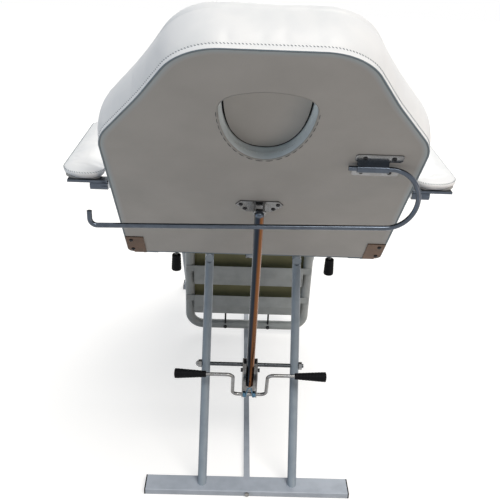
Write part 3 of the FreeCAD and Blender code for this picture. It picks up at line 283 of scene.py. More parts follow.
# a second finish on the faces of a solid that lie above a height, in metres, in the part's own frame
secondFinishes = {
    # the saddle's hump and the strut's top take the darkened chrome: a painted dark reflection
    "towel_saddle": {"place": backPlace, "above": 0.0026, "finish": "smokedChrome"},
    "strut": {"place": strutPlace, "above": 0.484, "finish": "smokedChrome"},
    # the floor bars keep black caps; the tubes up at the seat are closed in the colour of the tube, painted shade
    # included
    "end_caps": {"place": Matrix.Identity(4), "above": 0.2, "finish": "tubePaint"},
}
for name, second in secondFinishes.items():
    node = nodes[name]
    node.data.materials.append(finishes[second["finish"]])
    toPart = second["place"].inverted() @ node.matrix_world
    for polygon in node.data.polygons:
        if (toPart @ polygon.center).z > second["above"]:
            polygon.material_index = 1
print("materials set on the solids")


# Mesh helpers

def newPiece(name, vertices, faces, finish, smooth=True):
    mesh = bpy.data.meshes.new(name)
    mesh.from_pydata([tuple(v) for v in vertices], [], faces)
    mesh.update()
    piece = bpy.data.objects.new(name, mesh)
    scene.collection.objects.link(piece)
    mesh.materials.append(finishes[finish])
    if smooth:
        mesh.polygons.foreach_set("use_smooth", [True] * len(mesh.polygons))
    return piece


def arcCorner(before, corner, after, radius):
    back = (before - corner).normalized()
    on = (after - corner).normalized()
    half = back.angle(on) / 2
    centre = corner + (back + on).normalized() * (radius / math.sin(half))
    reach = radius / math.tan(half)
    return corner + back * reach, corner + on * reach, centre


def roundedOutline(points, radii, arcSteps, runSteps):
    # the start is the middle of the first corner; a radius below zero bends inwards
    corners = [Vector(p) for p in points]
    count = len(corners)
    arcs = [arcCorner(corners[i - 1], corners[i], corners[(i + 1) % count], abs(radii[i])) for i in range(count)]
    path, normals = [], []
    for i in range(count):
        start, end, centre = arcs[i]
        a0 = math.atan2(*(start - centre).yx)
        turn = (math.atan2(*(end - centre).yx) - a0 + math.pi) % (2 * math.pi) - math.pi
        for k in range(arcSteps[i]):
            angle = a0 + turn * k / arcSteps[i]
            way = Vector((math.cos(angle), math.sin(angle)))
            path.append(centre + way * abs(radii[i]))
            normals.append(way * math.copysign(1, radii[i]))
        run = arcs[(i + 1) % count][0] - end
        way = Vector((run.y, -run.x)).normalized()
        for k in range(runSteps[i]):
            path.append(end + run * (k / runSteps[i]))
            normals.append(way)
    half = arcSteps[0] // 2
    return path[half:] + path[:half], normals[half:] + normals[:half]


def ringFaces(first, second, count):
    return [(first + k, first + (k + 1) % count, second + (k + 1) % count, second + k) for k in range(count)]


def skinFaces(base, rows, count):
    # the walls between rings that follow each other, and a cap at each end
    faces = []
    for row in range(1, rows):
        faces += ringFaces(base + (row - 1) * count, base + row * count, count)
    faces.append(tuple(range(base + count - 1, base - 1, -1)))
    faces.append(tuple(range(base + (rows - 1) * count, base + rows * count)))
    return faces


coverCloth = {"quality": 6, "mass": 0.3, "shearShare": 0.4}


def inflate(piece, sewn, spec):
    # cloth under a little air, held at the seams, with each point's travel capped
    mesh = piece.data
    rest = np.empty(len(mesh.vertices) * 3)
    mesh.vertices.foreach_get("co", rest)
    rest = rest.reshape(-1, 3)
    group = piece.vertex_groups.new(name="sewn")
    group.add([int(v) for v in sewn], 1.0, "REPLACE")
    cloth = piece.modifiers.new("foam", "CLOTH")
    settings = cloth.settings
    settings.quality = coverCloth["quality"]
    settings.mass = coverCloth["mass"]
    settings.tension_stiffness = settings.compression_stiffness = spec["stretch"]
    settings.shear_stiffness = spec["stretch"] * coverCloth["shearShare"]
    settings.bending_stiffness = spec["bend"]
    settings.use_pressure = True
    settings.uniform_pressure_force = spec["pressure"]
    settings.shrink_min = spec.get("slack", 0.0)
    settings.vertex_group_mass = "sewn"
    settings.effector_weights.gravity = 0.0
    cloth.point_cache.frame_start = 1
    cloth.point_cache.frame_end = spec["frames"]
    for step in range(1, spec["frames"] + 1):
        scene.frame_set(step)
    shaped = piece.evaluated_get(bpy.context.evaluated_depsgraph_get())
    moved = np.empty(len(mesh.vertices) * 3)
    shaped.data.vertices.foreach_get("co", moved)
    shift = moved.reshape(-1, 3) - rest
    length = np.linalg.norm(shift, axis=1, keepdims=True)
    cap = spec["cap"]
    shift *= np.minimum(1.0, cap * np.tanh(length / cap) / np.maximum(length, 1e-9))
    piece.modifiers.remove(cloth)
    piece.vertex_groups.remove(group)
    mesh.vertices.foreach_set("co", (rest + shift).ravel())
    mesh.update()
    scene.frame_set(1)
    print(piece.name, "inflated, most moved", round(float(np.abs(shift).max()) / mm, 1), "mm")


def subdivide(piece, levels=1):
    smoother = piece.modifiers.new("rounding", "SUBSURF")
    smoother.levels = smoother.render_levels = levels
    with bpy.context.temp_override(object=piece, active_object=piece, selected_objects=[piece]):
        bpy.ops.object.modifier_apply(modifier=smoother.name)


# Cushions: each row of a section is (height, outset, 1 where it is sewn down), in millimetres

def gridFill(ring, counts, lift):
    # fills a ring of four sides with a net of rows; lift gives the crown at each place
    across, along = counts
    total = 2 * (across + along)
    side = [ring[k % total] for k in range(total + 1)]
    bottom = side[:across + 1]
    right = side[across:across + along + 1]
    top = side[across + along:2 * across + along + 1][::-1]
    left = side[2 * across + along:total + 1][::-1]
    rows = []
    for j in range(1, along):
        v = j / along
        row = []
        for i in range(1, across):
            u = i / across
            ruled = bottom[i].lerp(top[i], v) + left[j].lerp(right[j], u)
            corner = bottom[0].lerp(bottom[-1], u).lerp(top[0].lerp(top[-1], u), v)
            spot = ruled - corner
            edge = min(u, 1 - u) * 2, min(v, 1 - v) * 2
            row.append(spot + Vector((0, 0, lift(*edge))))
        rows.append(row)
    return rows


def netFaces(ringStart, netStart, counts):
    across, along = counts
    total = 2 * (across + along)

    def index(i, j):
        if j == 0:
            return ringStart + i
        if i == across:
            return ringStart + across + j
        if j == along:
            return ringStart + (2 * across + along - i) % total
        if i == 0:
            return ringStart + (total - j) % total
        return netStart + (j - 1) * (across - 1) + i - 1
    return [(index(i, j), index(i + 1, j), index(i + 1, j + 1), index(i, j + 1))
            for j in range(along) for i in range(across)]


crownPower = 2.4


def crownLift(height):
    def lift(u, v):
        return height * (1 - (1 - min(1, u)) ** crownPower) * (1 - (1 - min(1, v)) ** crownPower)
    return lift


def boxCushion(name, spec, place, path, normals, counts):
    total = len(path)
    vertices, faces, sewn = [], [], []
    for row, (height, outset, held) in enumerate(spec["section"]):
        for p, n in zip(path, normals):
            vertices.append(Vector((p.x + n.x * outset * mm, p.y + n.y * outset * mm, height * mm)))
        if held:
            sewn += range(row * total, (row + 1) * total)
        if row:
            faces += ringFaces((row - 1) * total, row * total, total)
    last = (len(spec["section"]) - 1) * total
    net = gridFill(vertices[last:last + total], counts, crownLift(spec["crown"] * mm))
    start = len(vertices)
    vertices += [v for r in net for v in r]
    faces += netFaces(last, start, counts)
    under = gridFill(vertices[:total], counts, lambda u, v: 0.0)
    start = len(vertices)
    vertices += [v for r in under for v in r]
    sewn += range(start, len(vertices))
    faces += [f[::-1] for f in netFaces(0, start, counts)]
    piece = newPiece(name, [place @ v for v in vertices], faces, "vinyl")
    if "under" in spec:
        piece.data.materials.append(finishes[spec["under"]])
        piece.data.materials.append(finishes[spec["edge"]])
        for polygon in piece.data.polygons[len(faces) - counts[0] * counts[1]:]:
            polygon.material_index = 1
        # the first rows take the edge finish; the plug's is black, a painted shade of the gap round it
        for polygon in piece.data.polygons[:spec["gapShadeRows"] * total]:
            polygon.material_index = 2
    return finishCushion(piece, spec, sewn, total)


def finishCushion(piece, spec, sewn, total):
    inflate(piece, sewn, spec["foam"])
    mesh = piece.data
    rings = []
    for row in range(len(spec["section"])):
        ring = [mesh.vertices[row * total + k] for k in range(total)]
        rings.append(([v.co.copy() for v in ring], [v.normal.copy() for v in ring]))
    subdivide(piece)
    return piece, rings


def fourSided(spec):
    half = [steps // 2 for steps in spec["arcSteps"]]
    path, normals = roundedOutline(spec["points"], spec["radii"], spec["arcSteps"], spec["runSteps"])
    counts = (half[0] + spec["runSteps"][0] + half[1], half[1] + spec["runSteps"][1] + half[2])
    return path, normals, counts


threadForm = {"sides": 6, "steps": 5, "ahead": 0.3, "sink": 0.35, "thinEnd": 0.55}


def stitchRow(name, path, outward, spec, finish):
    # thread that dips into the cover at both ends of each stitch
    points = [Vector(p) for p in path] + [Vector(path[0])]
    outs = [Vector(o) for o in outward] + [Vector(outward[0])]
    lengths = [0.0]
    for a, b in zip(points, points[1:]):
        lengths.append(lengths[-1] + (b - a).length)

    def at(distance):
        k = max(1, int(np.searchsorted(lengths, distance)))
        k = min(k, len(points) - 1)
        t = (distance - lengths[k - 1]) / max(lengths[k] - lengths[k - 1], 1e-9)
        return points[k - 1].lerp(points[k], t), outs[k - 1].lerp(outs[k], t).normalized()
    begin, finishAt = spec.get("span", (0.0, 1.0))
    whole = lengths[-1]
    count = max(1, round(whole * (finishAt - begin) / (spec["pitch"] * mm)))
    sides, steps, thin = threadForm["sides"], threadForm["steps"], threadForm["thinEnd"]
    half = spec["width"] * 0.5 * mm
    vertices, faces = [], []
    for s in range(count):
        a = whole * begin + whole * (finishAt - begin) * s / count
        for k in range(steps):
            t = k / (steps - 1)
            here, up = at(a + t * spec["length"] * mm)
            ahead = (at(a + (t * spec["length"] + threadForm["ahead"]) * mm)[0] - here).normalized()
            across = ahead.cross(up).normalized()
            here = here + across * (t - 0.5) * spec.get("slant", 0.0) * mm
            rise = (math.sin(math.pi * t) - threadForm["sink"]) * half
            radius = half * (thin + (1 - thin) * math.sin(math.pi * t))
            for q in range(sides):
                angle = 2 * math.pi * q / sides
                vertices.append(here + up * (rise + radius * math.sin(angle)) + across * radius * math.cos(angle))
        faces += skinFaces(s * steps * sides, steps, sides)
    return newPiece(name, vertices, faces, finish)


# Back cushion: one cover over the foam and round the edge of the board, with the face hole through it

firmFoam = {"pressure": 5.0, "stretch": 30.0, "bend": 2.0, "frames": 20, "slack": -0.004}
faceHole = {"halfWidth": 0.086, "shoulder": 0.597, "topRise": 0.052, "topRadius": 0.044, "lowerDrop": 0.159,
            "centre": 0.560}
holeForm = {"waist": 0.0, "fullness": 2.0}
plugForm = {"waist": 0.0095, "fullness": 2.3}
holeSearch = {"reach": 0.4, "halvings": 40}


def holeSpot(angle, shrink, form=holeForm):
    # the hole's edge in the direction of angle from its centre, drawn in by shrink: half an ellipse under a flat arch
    a = faceHole["halfWidth"] - shrink - form["waist"]
    drop = faceHole["lowerDrop"] - shrink
    rise = faceHole["topRise"] - shrink
    corner = faceHole["topRadius"] - shrink
    flat = a - corner
    arch = (flat * flat + rise * rise - corner * corner) / (2 * (rise - corner))
    meet = arch * math.sin(math.atan2(flat, arch - rise))
    origin = Vector((0, faceHole["centre"]))
    way = Vector((math.cos(angle), math.sin(angle)))
    near, far = 0.0, holeSearch["reach"]
    for step in range(holeSearch["halvings"]):
        mid = (near + far) / 2
        p = origin + way * mid
        up = p.y - faceHole["shoulder"]
        if up < 0:
            inside = abs(p.x / a) ** form["fullness"] + abs(up / drop) ** form["fullness"] <= 1
        elif abs(p.x) < meet:
            inside = math.hypot(p.x, up - rise + arch) <= arch
        else:
            inside = math.hypot(abs(p.x) - flat, up) <= corner
        near, far = (mid, far) if inside else (near, mid)
    return origin + way * near


backCushion = {
    "points": ((-0.302, 0), (0.302, 0), (0.302, 0.497), (0.217272, 0.621831), (0.141, 0.752), (-0.141, 0.752),
               (-0.217272, 0.621831), (-0.302, 0.497)),
    "radii": (0.014, 0.014, 0.110, -0.600, 0.110, 0.110, -0.600, 0.110),
    "arcSteps": (8, 8, 14, 10, 16, 16, 10, 14),
    "runSteps": (64, 48, 9, 7, 20, 7, 9, 48),
    "section": ((-0.25, -2.8, 1), (-0.5, -1.5, 1), (-1.2, 0.4, 1), (-0.6, 1.8, 1), (3.6, 2.0, 1), (7.4, 1.3, 1),
                (8.6, 1.3, 1), (11.5, 2.4, 0), (17, 3.8, 0), (26, 5.0, 0), (38, 5.6, 0), (50, 5.0, 0), (60, 3.6, 0),
                (67, 1.6, 0), (70.6, 0.0, 1), (71.6, -0.4, 1), (75, 0.4, 0), (80, -0.4, 0), (86, -4.0, 0),
                (91, -10, 0), (94.5, -18, 0)),
    "stitched": (6,),
    "gapShadeRows": 3,
    "swell": (10.0, 0.15, 0.5),
    "hem": 10.5,
    "hemSlope": 0.8,
    "crown": 6.0,
    "crownReach": 2.2,
    "crownFall": 0.25,
    "spokes": 40,
    "holeWall": ((1.6, -7.5), (5.5, -6.1), (40, -5.9), (70, -5.9)),
    "wall": -5.9,
    "boardFace": 15.5,
    "lining": {"rows": 8, "rim": -5.5, "inset": 3.0},
    "tuck": ((15.5, -0.6), (2.2, -0.6)),
    "foam": {**firmFoam, "cap": 0.006},
    "fill": 0.85,
}


def wrapHole(spec, place, name):
    path, normals = roundedOutline(spec["points"], spec["radii"], spec["arcSteps"], spec["runSteps"])
    total = len(path)
    most, begin, full = spec["swell"]
    top = spec["section"][-1][0]

    def swelling(y, height):
        # the foam grows thicker from the hips to the head
        return most * min(1, max(0, (y - begin) / (full - begin))) * max(0, height / top)

    vertices, faces, sewn = [], [], []
    for row, (height, outset, held) in enumerate(spec["section"]):
        for p, n in zip(path, normals):
            spot = Vector((p.x + n.x * outset * mm, p.y + n.y * outset * mm, 0))
            spot.z = (height + swelling(spot.y, height)) * mm
            vertices.append(spot)
        if held:
            sewn += range(row * total, (row + 1) * total)
        if row:
            faces += ringFaces((row - 1) * total, row * total, total)
    edge = vertices[-total:]
    centre = Vector((0, faceHole["centre"]))
    angles = [math.atan2(v.y - centre.y, v.x) for v in edge]
    spokes = spec["spokes"]
    for k in range(1, spokes + 1):
        t = k / spokes
        for v, angle in zip(edge, angles):
            rim = holeSpot(angle, -spec["hem"] * mm * (1 if k == spokes else spec["hemSlope"]))
            spot = Vector((v.x, v.y)).lerp(rim, t)
            rise = spec["crown"] * (1 - (1 - min(1, t * spec["crownReach"])) ** 2) * (1 - spec["crownFall"] * t ** 6)
            vertices.append(Vector((spot.x, spot.y, (top + rise + swelling(spot.y, top)) * mm)))
        faces += ringFaces(len(vertices) - 2 * total, len(vertices) - total, total)
    lastHeight = top + spec["crown"] * (1 - spec["crownFall"]) + most
    wallRows = (*spec["holeWall"], (lastHeight - spec["boardFace"], spec["wall"]))
    for drop, shrink in wallRows:
        start = len(vertices)
        for angle in angles:
            spot = holeSpot(angle, shrink * mm)
            vertices.append(Vector((spot.x, spot.y, (lastHeight - drop) * mm)))
        sewn += range(start, start + total)
        faces += ringFaces(start - total, start, total)
    hemStart = len(vertices) - (len(wallRows) + 1) * total
    sewn += range(hemStart, hemStart + total)
    # the cover ends inside the pad, against the front of the board
    lining = spec["lining"]
    for step in range(1, lining["rows"]):
        start = len(vertices)
        for p, n, angle in zip(path, normals, angles):
            rim = holeSpot(angle, lining["rim"] * mm)
            outer = Vector((p.x - n.x * lining["inset"] * mm, p.y - n.y * lining["inset"] * mm))
            spot = rim.lerp(outer, step / lining["rows"])
            vertices.append(Vector((spot.x, spot.y, spec["boardFace"] * mm)))
        sewn += range(start, start + total)
        faces += ringFaces(start - total, start, total)
    for height, outset in spec["tuck"]:
        for p, n in zip(path, normals):
            vertices.append(Vector((p.x + n.x * outset * mm, p.y + n.y * outset * mm, height * mm)))
        sewn += range(len(vertices) - total, len(vertices))
        faces += ringFaces(len(vertices) - 2 * total, len(vertices) - total, total)
    faces += ringFaces(len(vertices) - total, 0, total)
    piece = newPiece(name, [place @ v for v in vertices], faces, "vinyl")
    # the rows where the cover turns under at the board are dark: painted shade of the gap
    piece.data.materials.append(finishes["gapShade"])
    for polygon in piece.data.polygons[:spec["gapShadeRows"] * total]:
        polygon.material_index = 1
    return finishCushion(piece, spec, sewn, total)


frontPlace = backPlace @ Matrix.Rotation(math.pi, 4, "Y")
backPad, backRings = wrapHole(backCushion, frontPlace, "backCushionCover")
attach(backPad, "backrest")
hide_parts("back_cushion")
print("back cushion made")

hemStitch = {"pitch": 5.6, "length": 4.0, "width": 1.5, "slant": 2.2}


def topStitch(name, rings, rows, body):
    for row in rows:
        seam = stitchRow(name + str(row), *rings[row], hemStitch, "thread")
        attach(seam, body)


topStitch("backSeamStitches", backRings, backCushion["stitched"], "backrest")

# a thin ring on the board, barely proud, carrying a painted highlight and cool reflection beside the cover's
# turned-under edge, stronger towards the head end
edgeHighlightRing = {"insets": (3.0, 4.5, 7.0, 10.0, 13.0), "highlightShares": (1.0, 0.85, 0.5, 0.2, 0.0), "proud": 0.12,
              "from": 0.06, "full": 0.3}
edgePath, edgeNormals = roundedOutline(*(backCushion[k] for k in ("points", "radii", "arcSteps", "runSteps")))
edgeVertices, paintedEdgeHighlights, edgeFaces = [], [], []
for inset, tint in zip(edgeHighlightRing["insets"], edgeHighlightRing["highlightShares"]):
    for p, n in zip(edgePath, edgeNormals):
        spot = Vector((p.x - n.x * inset * mm, p.y - n.y * inset * mm, edgeHighlightRing["proud"] * mm))
        edgeVertices.append(backPlace @ spot)
        share = (spot.y - edgeHighlightRing["from"]) / (edgeHighlightRing["full"] - edgeHighlightRing["from"])
        paintedEdgeHighlights.append(tint * min(1, max(0, share)))
for row in range(1, len(edgeHighlightRing["insets"])):
    edgeFaces += ringFaces((row - 1) * len(edgePath), row * len(edgePath), len(edgePath))
panelEdgeHighlight = newPiece("backPanelEdgeHighlight", edgeVertices, edgeFaces, "panelEdgeHighlight")
highlightLayer = panelEdgeHighlight.data.attributes.new("paintedEdgeHighlight", "FLOAT", "POINT")
highlightLayer.data.foreach_set("value", paintedEdgeHighlights)
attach(panelEdgeHighlight, "backrest")


# Face hole: a vinyl liner that ends flush with the board, and the loose plug with its own small board behind.
# A liner row is (shrink, height, 1 where it follows the plug's outline), in millimetres

faceLiner = {
    "steps": 120,
    "rim": 4,
    "fill": 0.3,
    "section": ((0.3, -1.5, 0), (0.3, 0.2, 0), (0.7, 0.6, 0), (1.2, 0.4, 0), (1.6, -1.0, 0), (1.8, -6.0, 0),
                (1.0, -12.0, 0), (-2.6, -21.0, 1), (-3.7, -25.0, 1), (-3.7, -68.0, 1), (-3.7, -99.0, 1),
                (-4.1, -106.0, 1), (-5.2, -109.0, 1), (-9.5, -110.2, 0), (-12.5, -109.6, 0), (-12.5, -108.6, 0),
                (-8.5, -108.0, 0), (-5.3, -104.0, 0), (-5.2, -64.0, 0), (-5.2, -21.0, 0), (-1.0, -18.5, 0),
                (0.3, -16.0, 0)),
}
facePlug = {
    "steps": 96,
    "shrink": -3.1,
    "under": "board",
    # the plug's rim rows are black plastic: painted shade of the gap between plug and liner
    "gapShadeRows": 3,
    "edge": "black",
    "section": ((30.2, -2.8, 1), (29.8, -1.4, 1), (31.0, -0.1, 1), (34, 0.0, 1), (48, 0.1, 0), (66, 0.1, 0),
                (88, 0.0, 0), (104, -0.6, 1), (107.5, -2.2, 1), (110.5, -7.0, 0)),
    "crown": 4.0,
    "foam": {"pressure": 3.0, "stretch": 40.0, "bend": 2.0, "frames": 14, "cap": 0.0006},
    "fill": 0.9,
}


def holeRing(steps, shrink, form=holeForm):
    return [holeSpot(-math.pi / 2 + 2 * math.pi * k / steps, shrink * mm, form) for k in range(steps)]


linerVertices, linerFaces = [], []
linerSteps, linerRows = faceLiner["steps"], len(faceLiner["section"])
for row, (shrink, z, byPlug) in enumerate(faceLiner["section"]):
    ring = holeRing(linerSteps, shrink, plugForm if byPlug else holeForm)
    linerVertices += [backPlace @ Vector((p.x, p.y, z * mm)) for p in ring]
    linerFaces += [f[::-1] for f in ringFaces(row * linerSteps, (row + 1) % linerRows * linerSteps, linerSteps)]
liner = newPiece("faceHoleLiner", linerVertices, linerFaces, "liner")
liner.data.materials.append(finishes["board"])
for polygon in liner.data.polygons[:faceLiner["rim"] * linerSteps]:
    polygon.material_index = 1
subdivide(liner)
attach(liner, "backrest")
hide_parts("face_liner")

plugPath = holeRing(facePlug["steps"], facePlug["shrink"], plugForm)
plugNormals = []
for before, after in zip(plugPath[-1:] + plugPath[:-1], plugPath[1:] + plugPath[:1]):
    way = after - before
    plugNormals.append(Vector((way.y, -way.x)).normalized())
quarter = facePlug["steps"] // 4
turn = quarter // 2
plugPath = plugPath[-turn:] + plugPath[:-turn]
plugNormals = plugNormals[-turn:] + plugNormals[:-turn]
plug = boxCushion("facePlugPad", facePlug, frontPlace, plugPath, plugNormals, (quarter, quarter))[0]
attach(plug, "plug")
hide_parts("face_plug")

tackStitch = {"pitch": 20.0, "length": 14.0, "width": 1.2, "span": (0.0, 0.62), "shrink": -2.4, "first": 84,
              "proud": 0.3}
tackRing = holeRing(linerSteps, tackStitch["shrink"])
tackRing = tackRing[tackStitch["first"]:] + tackRing[:tackStitch["first"]]
tackPath = [backPlace @ Vector((p.x, p.y, tackStitch["proud"] * mm)) for p in tackRing]
rearWay = backPlace.to_3x3() @ Vector((0, 0, 1))
tacks = stitchRow("faceHoleStitches", tackPath, [rearWay] * len(tackPath), tackStitch, "darkThread")
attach(tacks, "backrest")
print("face hole made")


# Seat, leg and arm cushions

seatCushion = {
    "points": ((-0.300, -0.127833), (0.300, -0.127833), (0.225, 0.268167), (-0.225, 0.268167)),
    "radii": (0.026, 0.026, 0.060, 0.060),
    "arcSteps": (10, 10, 14, 14),
    "runSteps": (62, 40, 58, 40),
    "level": 0.533,
    "section": ((-14.4, -14.0, 1), (-14.4, -7.6, 1), (-12.5, -5.4, 1), (-7.0, -4.4, 1), (-1.0, -2.6, 1), (4, 0.6, 0),
                (13, 3.6, 0), (25, 5.2, 0), (38, 5.4, 0), (48, 4.0, 0), (55, 1.8, 0), (58.4, 0.0, 1), (59.4, -0.4, 1),
                (63, 0.2, 0), (68, -2.4, 0), (73, -8.0, 0), (76, -16, 0)),
    "stitched": (4, 10),
    "crown": 7.0,
    "foam": {**firmFoam, "cap": 0.007},
    "fill": 0.85,
}
seat, seatRings = boxCushion("seatCushionCover", seatCushion, Matrix.Translation((0, 0, seatCushion["level"])),
                             *fourSided(seatCushion))
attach(seat, "stand")
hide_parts("seat_cushion")
topStitch("seatSeamStitches", seatRings, seatCushion["stitched"], "stand")

legCushion = {
    "points": ((-0.192, 0.018), (0.192, 0.018), (0.192, 0.418), (-0.192, 0.418)),
    "radii": (0.014, 0.014, 0.045, 0.045),
    "arcSteps": (10, 10, 10, 10),
    "runSteps": (44, 46, 44, 46),
    "level": 0.027,
    "section": ((-11.6, -12.0, 1), (-11.6, -5.6, 1), (-9.6, -2.8, 1), (-5.0, -1.8, 1), (-0.5, -0.6, 1), (4, 1.0, 0),
                (12, 3.0, 0), (23, 4.4, 0), (33, 4.4, 0), (42, 3.2, 0), (48, 1.2, 0), (51, 0.0, 1), (52, -0.4, 1),
                (55, 0.2, 0), (60, -2.6, 0), (64, -8.5, 0), (66.5, -16, 0)),
    "stitched": (4, 10),
    "crown": 7.0,
    "foam": {**firmFoam, "cap": 0.006},
    "fill": 0.85,
}
legPad, legRings = boxCushion("legCushionCover", legCushion,
                              legPlace @ Matrix.Translation((0, 0, legCushion["level"])), *fourSided(legCushion))
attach(legPad, "leg_rest")
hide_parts("leg_cushion")
topStitch("legSeamStitches", legRings, legCushion["stitched"], "leg_rest")

armPad = {
    "points": ((0.318, -0.427701), (0.404, -0.427701), (0.404, -0.027701), (0.318, -0.027701)),
    "radii": (0.032, 0.050, 0.040, 0.026),
    "arcSteps": (10, 12, 12, 10),
    "runSteps": (6, 48, 6, 50),
    "level": 0.821692,
    "section": ((-5.6, -11.0, 1), (-5.6, -6.0, 1), (-4.8, -3.6, 1), (-2.4, -1.8, 1), (0.2, -0.4, 0), (2.8, 0.6, 0),
                (5.2, 0.9, 0), (7.2, 0.2, 1), (7.9, -0.4, 1), (9.8, -2.6, 0), (12.6, -8.0, 0), (14.8, -15, 0)),
    "stitched": (8,),
    "crown": 7.5,
    "foam": {"pressure": 4.0, "stretch": 30.0, "bend": 1.0, "frames": 16, "cap": 0.003, "slack": -0.004},
    "fill": 0.8,
}
for sideName, mirror in (("right", 1), ("left", -1)):
    spec = dict(armPad)
    if mirror < 0:
        spec["points"] = tuple((-x, y) for x, y in (armPad["points"][k] for k in (1, 0, 3, 2)))
        spec["radii"] = tuple(armPad["radii"][k] for k in (1, 0, 3, 2))
        spec["arcSteps"] = tuple(armPad["arcSteps"][k] for k in (1, 0, 3, 2))
        spec["runSteps"] = tuple(armPad["runSteps"][k] for k in (0, 3, 2, 1))
    pad, padRings = boxCushion("armPad_" + sideName, spec, Matrix.Translation((0, 0, spec["level"])), *fourSided(spec))
    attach(pad, "armrest_" + sideName)
    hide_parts("arm_pad_" + sideName)
    topStitch("armSeamStitches_" + sideName, padRings, armPad["stitched"], "armrest_" + sideName)
print("seat, leg and arm cushions made")


# Small fittings: soft grips over the lever ends, screw heads, lock parts, weld beads at the feet

def latheSkin(name, profile, start, along, steps, finish):
    # turns rows of (distance, radius) in millimetres about an axis
    way = Vector(along)
    side = way.orthogonal().normalized()
    other = way.cross(side)
    vertices = []
    for distance, radius in profile:
        for k in range(steps):
            angle = 2 * math.pi * k / steps
            spoke = side * math.cos(angle) + other * math.sin(angle)
            vertices.append(Vector(start) + way * distance * mm + spoke * radius * mm)
    return newPiece(name, vertices, skinFaces(0, len(profile), steps), finish)


# the mouth, one rib and the rounded end of a grip, along it in millimetres
gripForm = {"mouth": ((-0.6, -1.6), (-0.6, -0.6), (0.6, 0.4)), "rib": ((0.1, 0), (0.6, 0), (0.7, 1), (0.9, 1)),
            "end": ((-3, 1, 0.4), (-0.4, 0.93, 0), (1.2, 0.7, 0), (1.9, 0.35, 0), (2.1, 0, 0.4)),
            "skin": 0.4, "ribsFrom": 2, "plain": 6, "steps": 36}


def gripProfile(spec):
    inner, outer, length = spec["inner"], spec["outer"], spec["length"]
    rows = [(distance, inner + change) for distance, change in gripForm["mouth"]]
    for k in range(spec["ribs"]):
        for share, sunk in gripForm["rib"]:
            t = (k + share) / spec["ribs"]
            radius = inner + (outer - inner) * t + gripForm["skin"] - sunk * spec["ribDepth"]
            rows.append((gripForm["ribsFrom"] + (length - gripForm["plain"]) * t, radius))
    return rows + [(length + past, outer * share + extra) for past, share, extra in gripForm["end"]]


backGrip = {"length": 76, "inner": 7.5, "outer": 12.0, "ribs": 9, "ribDepth": 0.3, "start": 0.110}
legGrip = {"length": 43, "inner": 11.0, "outer": 12.6, "ribs": 5, "ribDepth": 0.25, "core": 10.0}
gripLow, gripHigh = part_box("back_lever_grips")
gripAxis = [(gripLow[k] + gripHigh[k]) / 2 for k in (1, 2)]
legGripLow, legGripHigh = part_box("leg_lever_grips")
legGripX = legGripHigh[0] - legGrip["core"] * mm
legGripY = (legGripLow[1] + legGripHigh[1]) / 2
for sideName, mirror in (("right", 1), ("left", -1)):
    sleeve = latheSkin("backLeverGrip_" + sideName, gripProfile(backGrip), (mirror * backGrip["start"], *gripAxis),
                       (mirror, 0, 0), gripForm["steps"], "black")
    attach(sleeve, "back_handle")
    sleeve = latheSkin("legLeverGrip_" + sideName, gripProfile(legGrip), (mirror * legGripX, legGripY, legGripHigh[2]),
                       (0, 0, -1), gripForm["steps"], "black")
    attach(sleeve, "leg_handle")

# domed heads over the plain screws of the back, each with a flat black cross laid on top: painted shade of a cross
# recess
screwHead = {"radius": 4.0, "height": 2.0, "dome": ((0.0, 4.8), (0.8, 4.8), (1.7, 4.1), (2.3, 2.8), (2.5, 0.3)),
             "steps": 20, "reach": 2.6, "half": 0.5, "proud": 0.62, "turn": 0.5, "apart": 12.0}
screwMesh = nodes["back_screws"].data
screwSpots = [backPlace.inverted() @ (nodes["back_screws"].matrix_world @ v.co) for v in screwMesh.vertices]
heads = []
for spot in screwSpots:
    match = next((h for h in heads if math.hypot(h[0] - spot.x, h[1] - spot.y) < screwHead["apart"] * mm), None)
    if match is None:
        heads.append([spot.x, spot.y, spot.z, spot.x, spot.y])
    else:
        match[2] = max(match[2], spot.z)
        match[3:] = [max(match[3], spot.x), max(match[4], spot.y)]
domeVertices, domeFaces, crossVertices, crossFaces = [], [], [], []
steps = screwHead["steps"]
for number, head in enumerate(heads):
    height, highX, highY = head[2:]
    middle = Vector((highX - screwHead["radius"] * mm, highY - screwHead["radius"] * mm, height))
    foot = middle - Vector((0, 0, screwHead["height"] * mm))
    base = len(domeVertices)
    for rise, radius in screwHead["dome"]:
        for k in range(steps):
            angle = 2 * math.pi * k / steps
            spoke = Vector((math.cos(angle) * radius, math.sin(angle) * radius, rise)) * mm
            domeVertices.append(backPlace @ (foot + spoke))
    domeFaces += skinFaces(base, len(screwHead["dome"]), steps)
    middle.z += screwHead["proud"] * mm
    for quarterTurn in (0, 1):
        angle = screwHead["turn"] * number + quarterTurn * math.pi / 2
        ahead = Vector((math.cos(angle), math.sin(angle), 0)) * screwHead["reach"] * mm
        aside = Vector((-math.sin(angle), math.cos(angle), 0)) * screwHead["half"] * mm
        base = len(crossVertices)
        crossVertices += [backPlace @ (middle + ahead * a + aside * b) for a, b in ((-1, -1), (1, -1), (1, 1), (-1, 1))]
        crossFaces.append((base, base + 1, base + 2, base + 3))
for pieceName, vertices, faces, finish in (("screwDomes", domeVertices, domeFaces, "oxide"),
                                           ("screwRecessShade", crossVertices, crossFaces, "black")):
    piece = newPiece(pieceName, vertices, faces, finish, smooth=pieceName == "screwDomes")
    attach(piece, "backrest")


# Lock: a folded tongue behind the strut's tail, and the lever's return spring

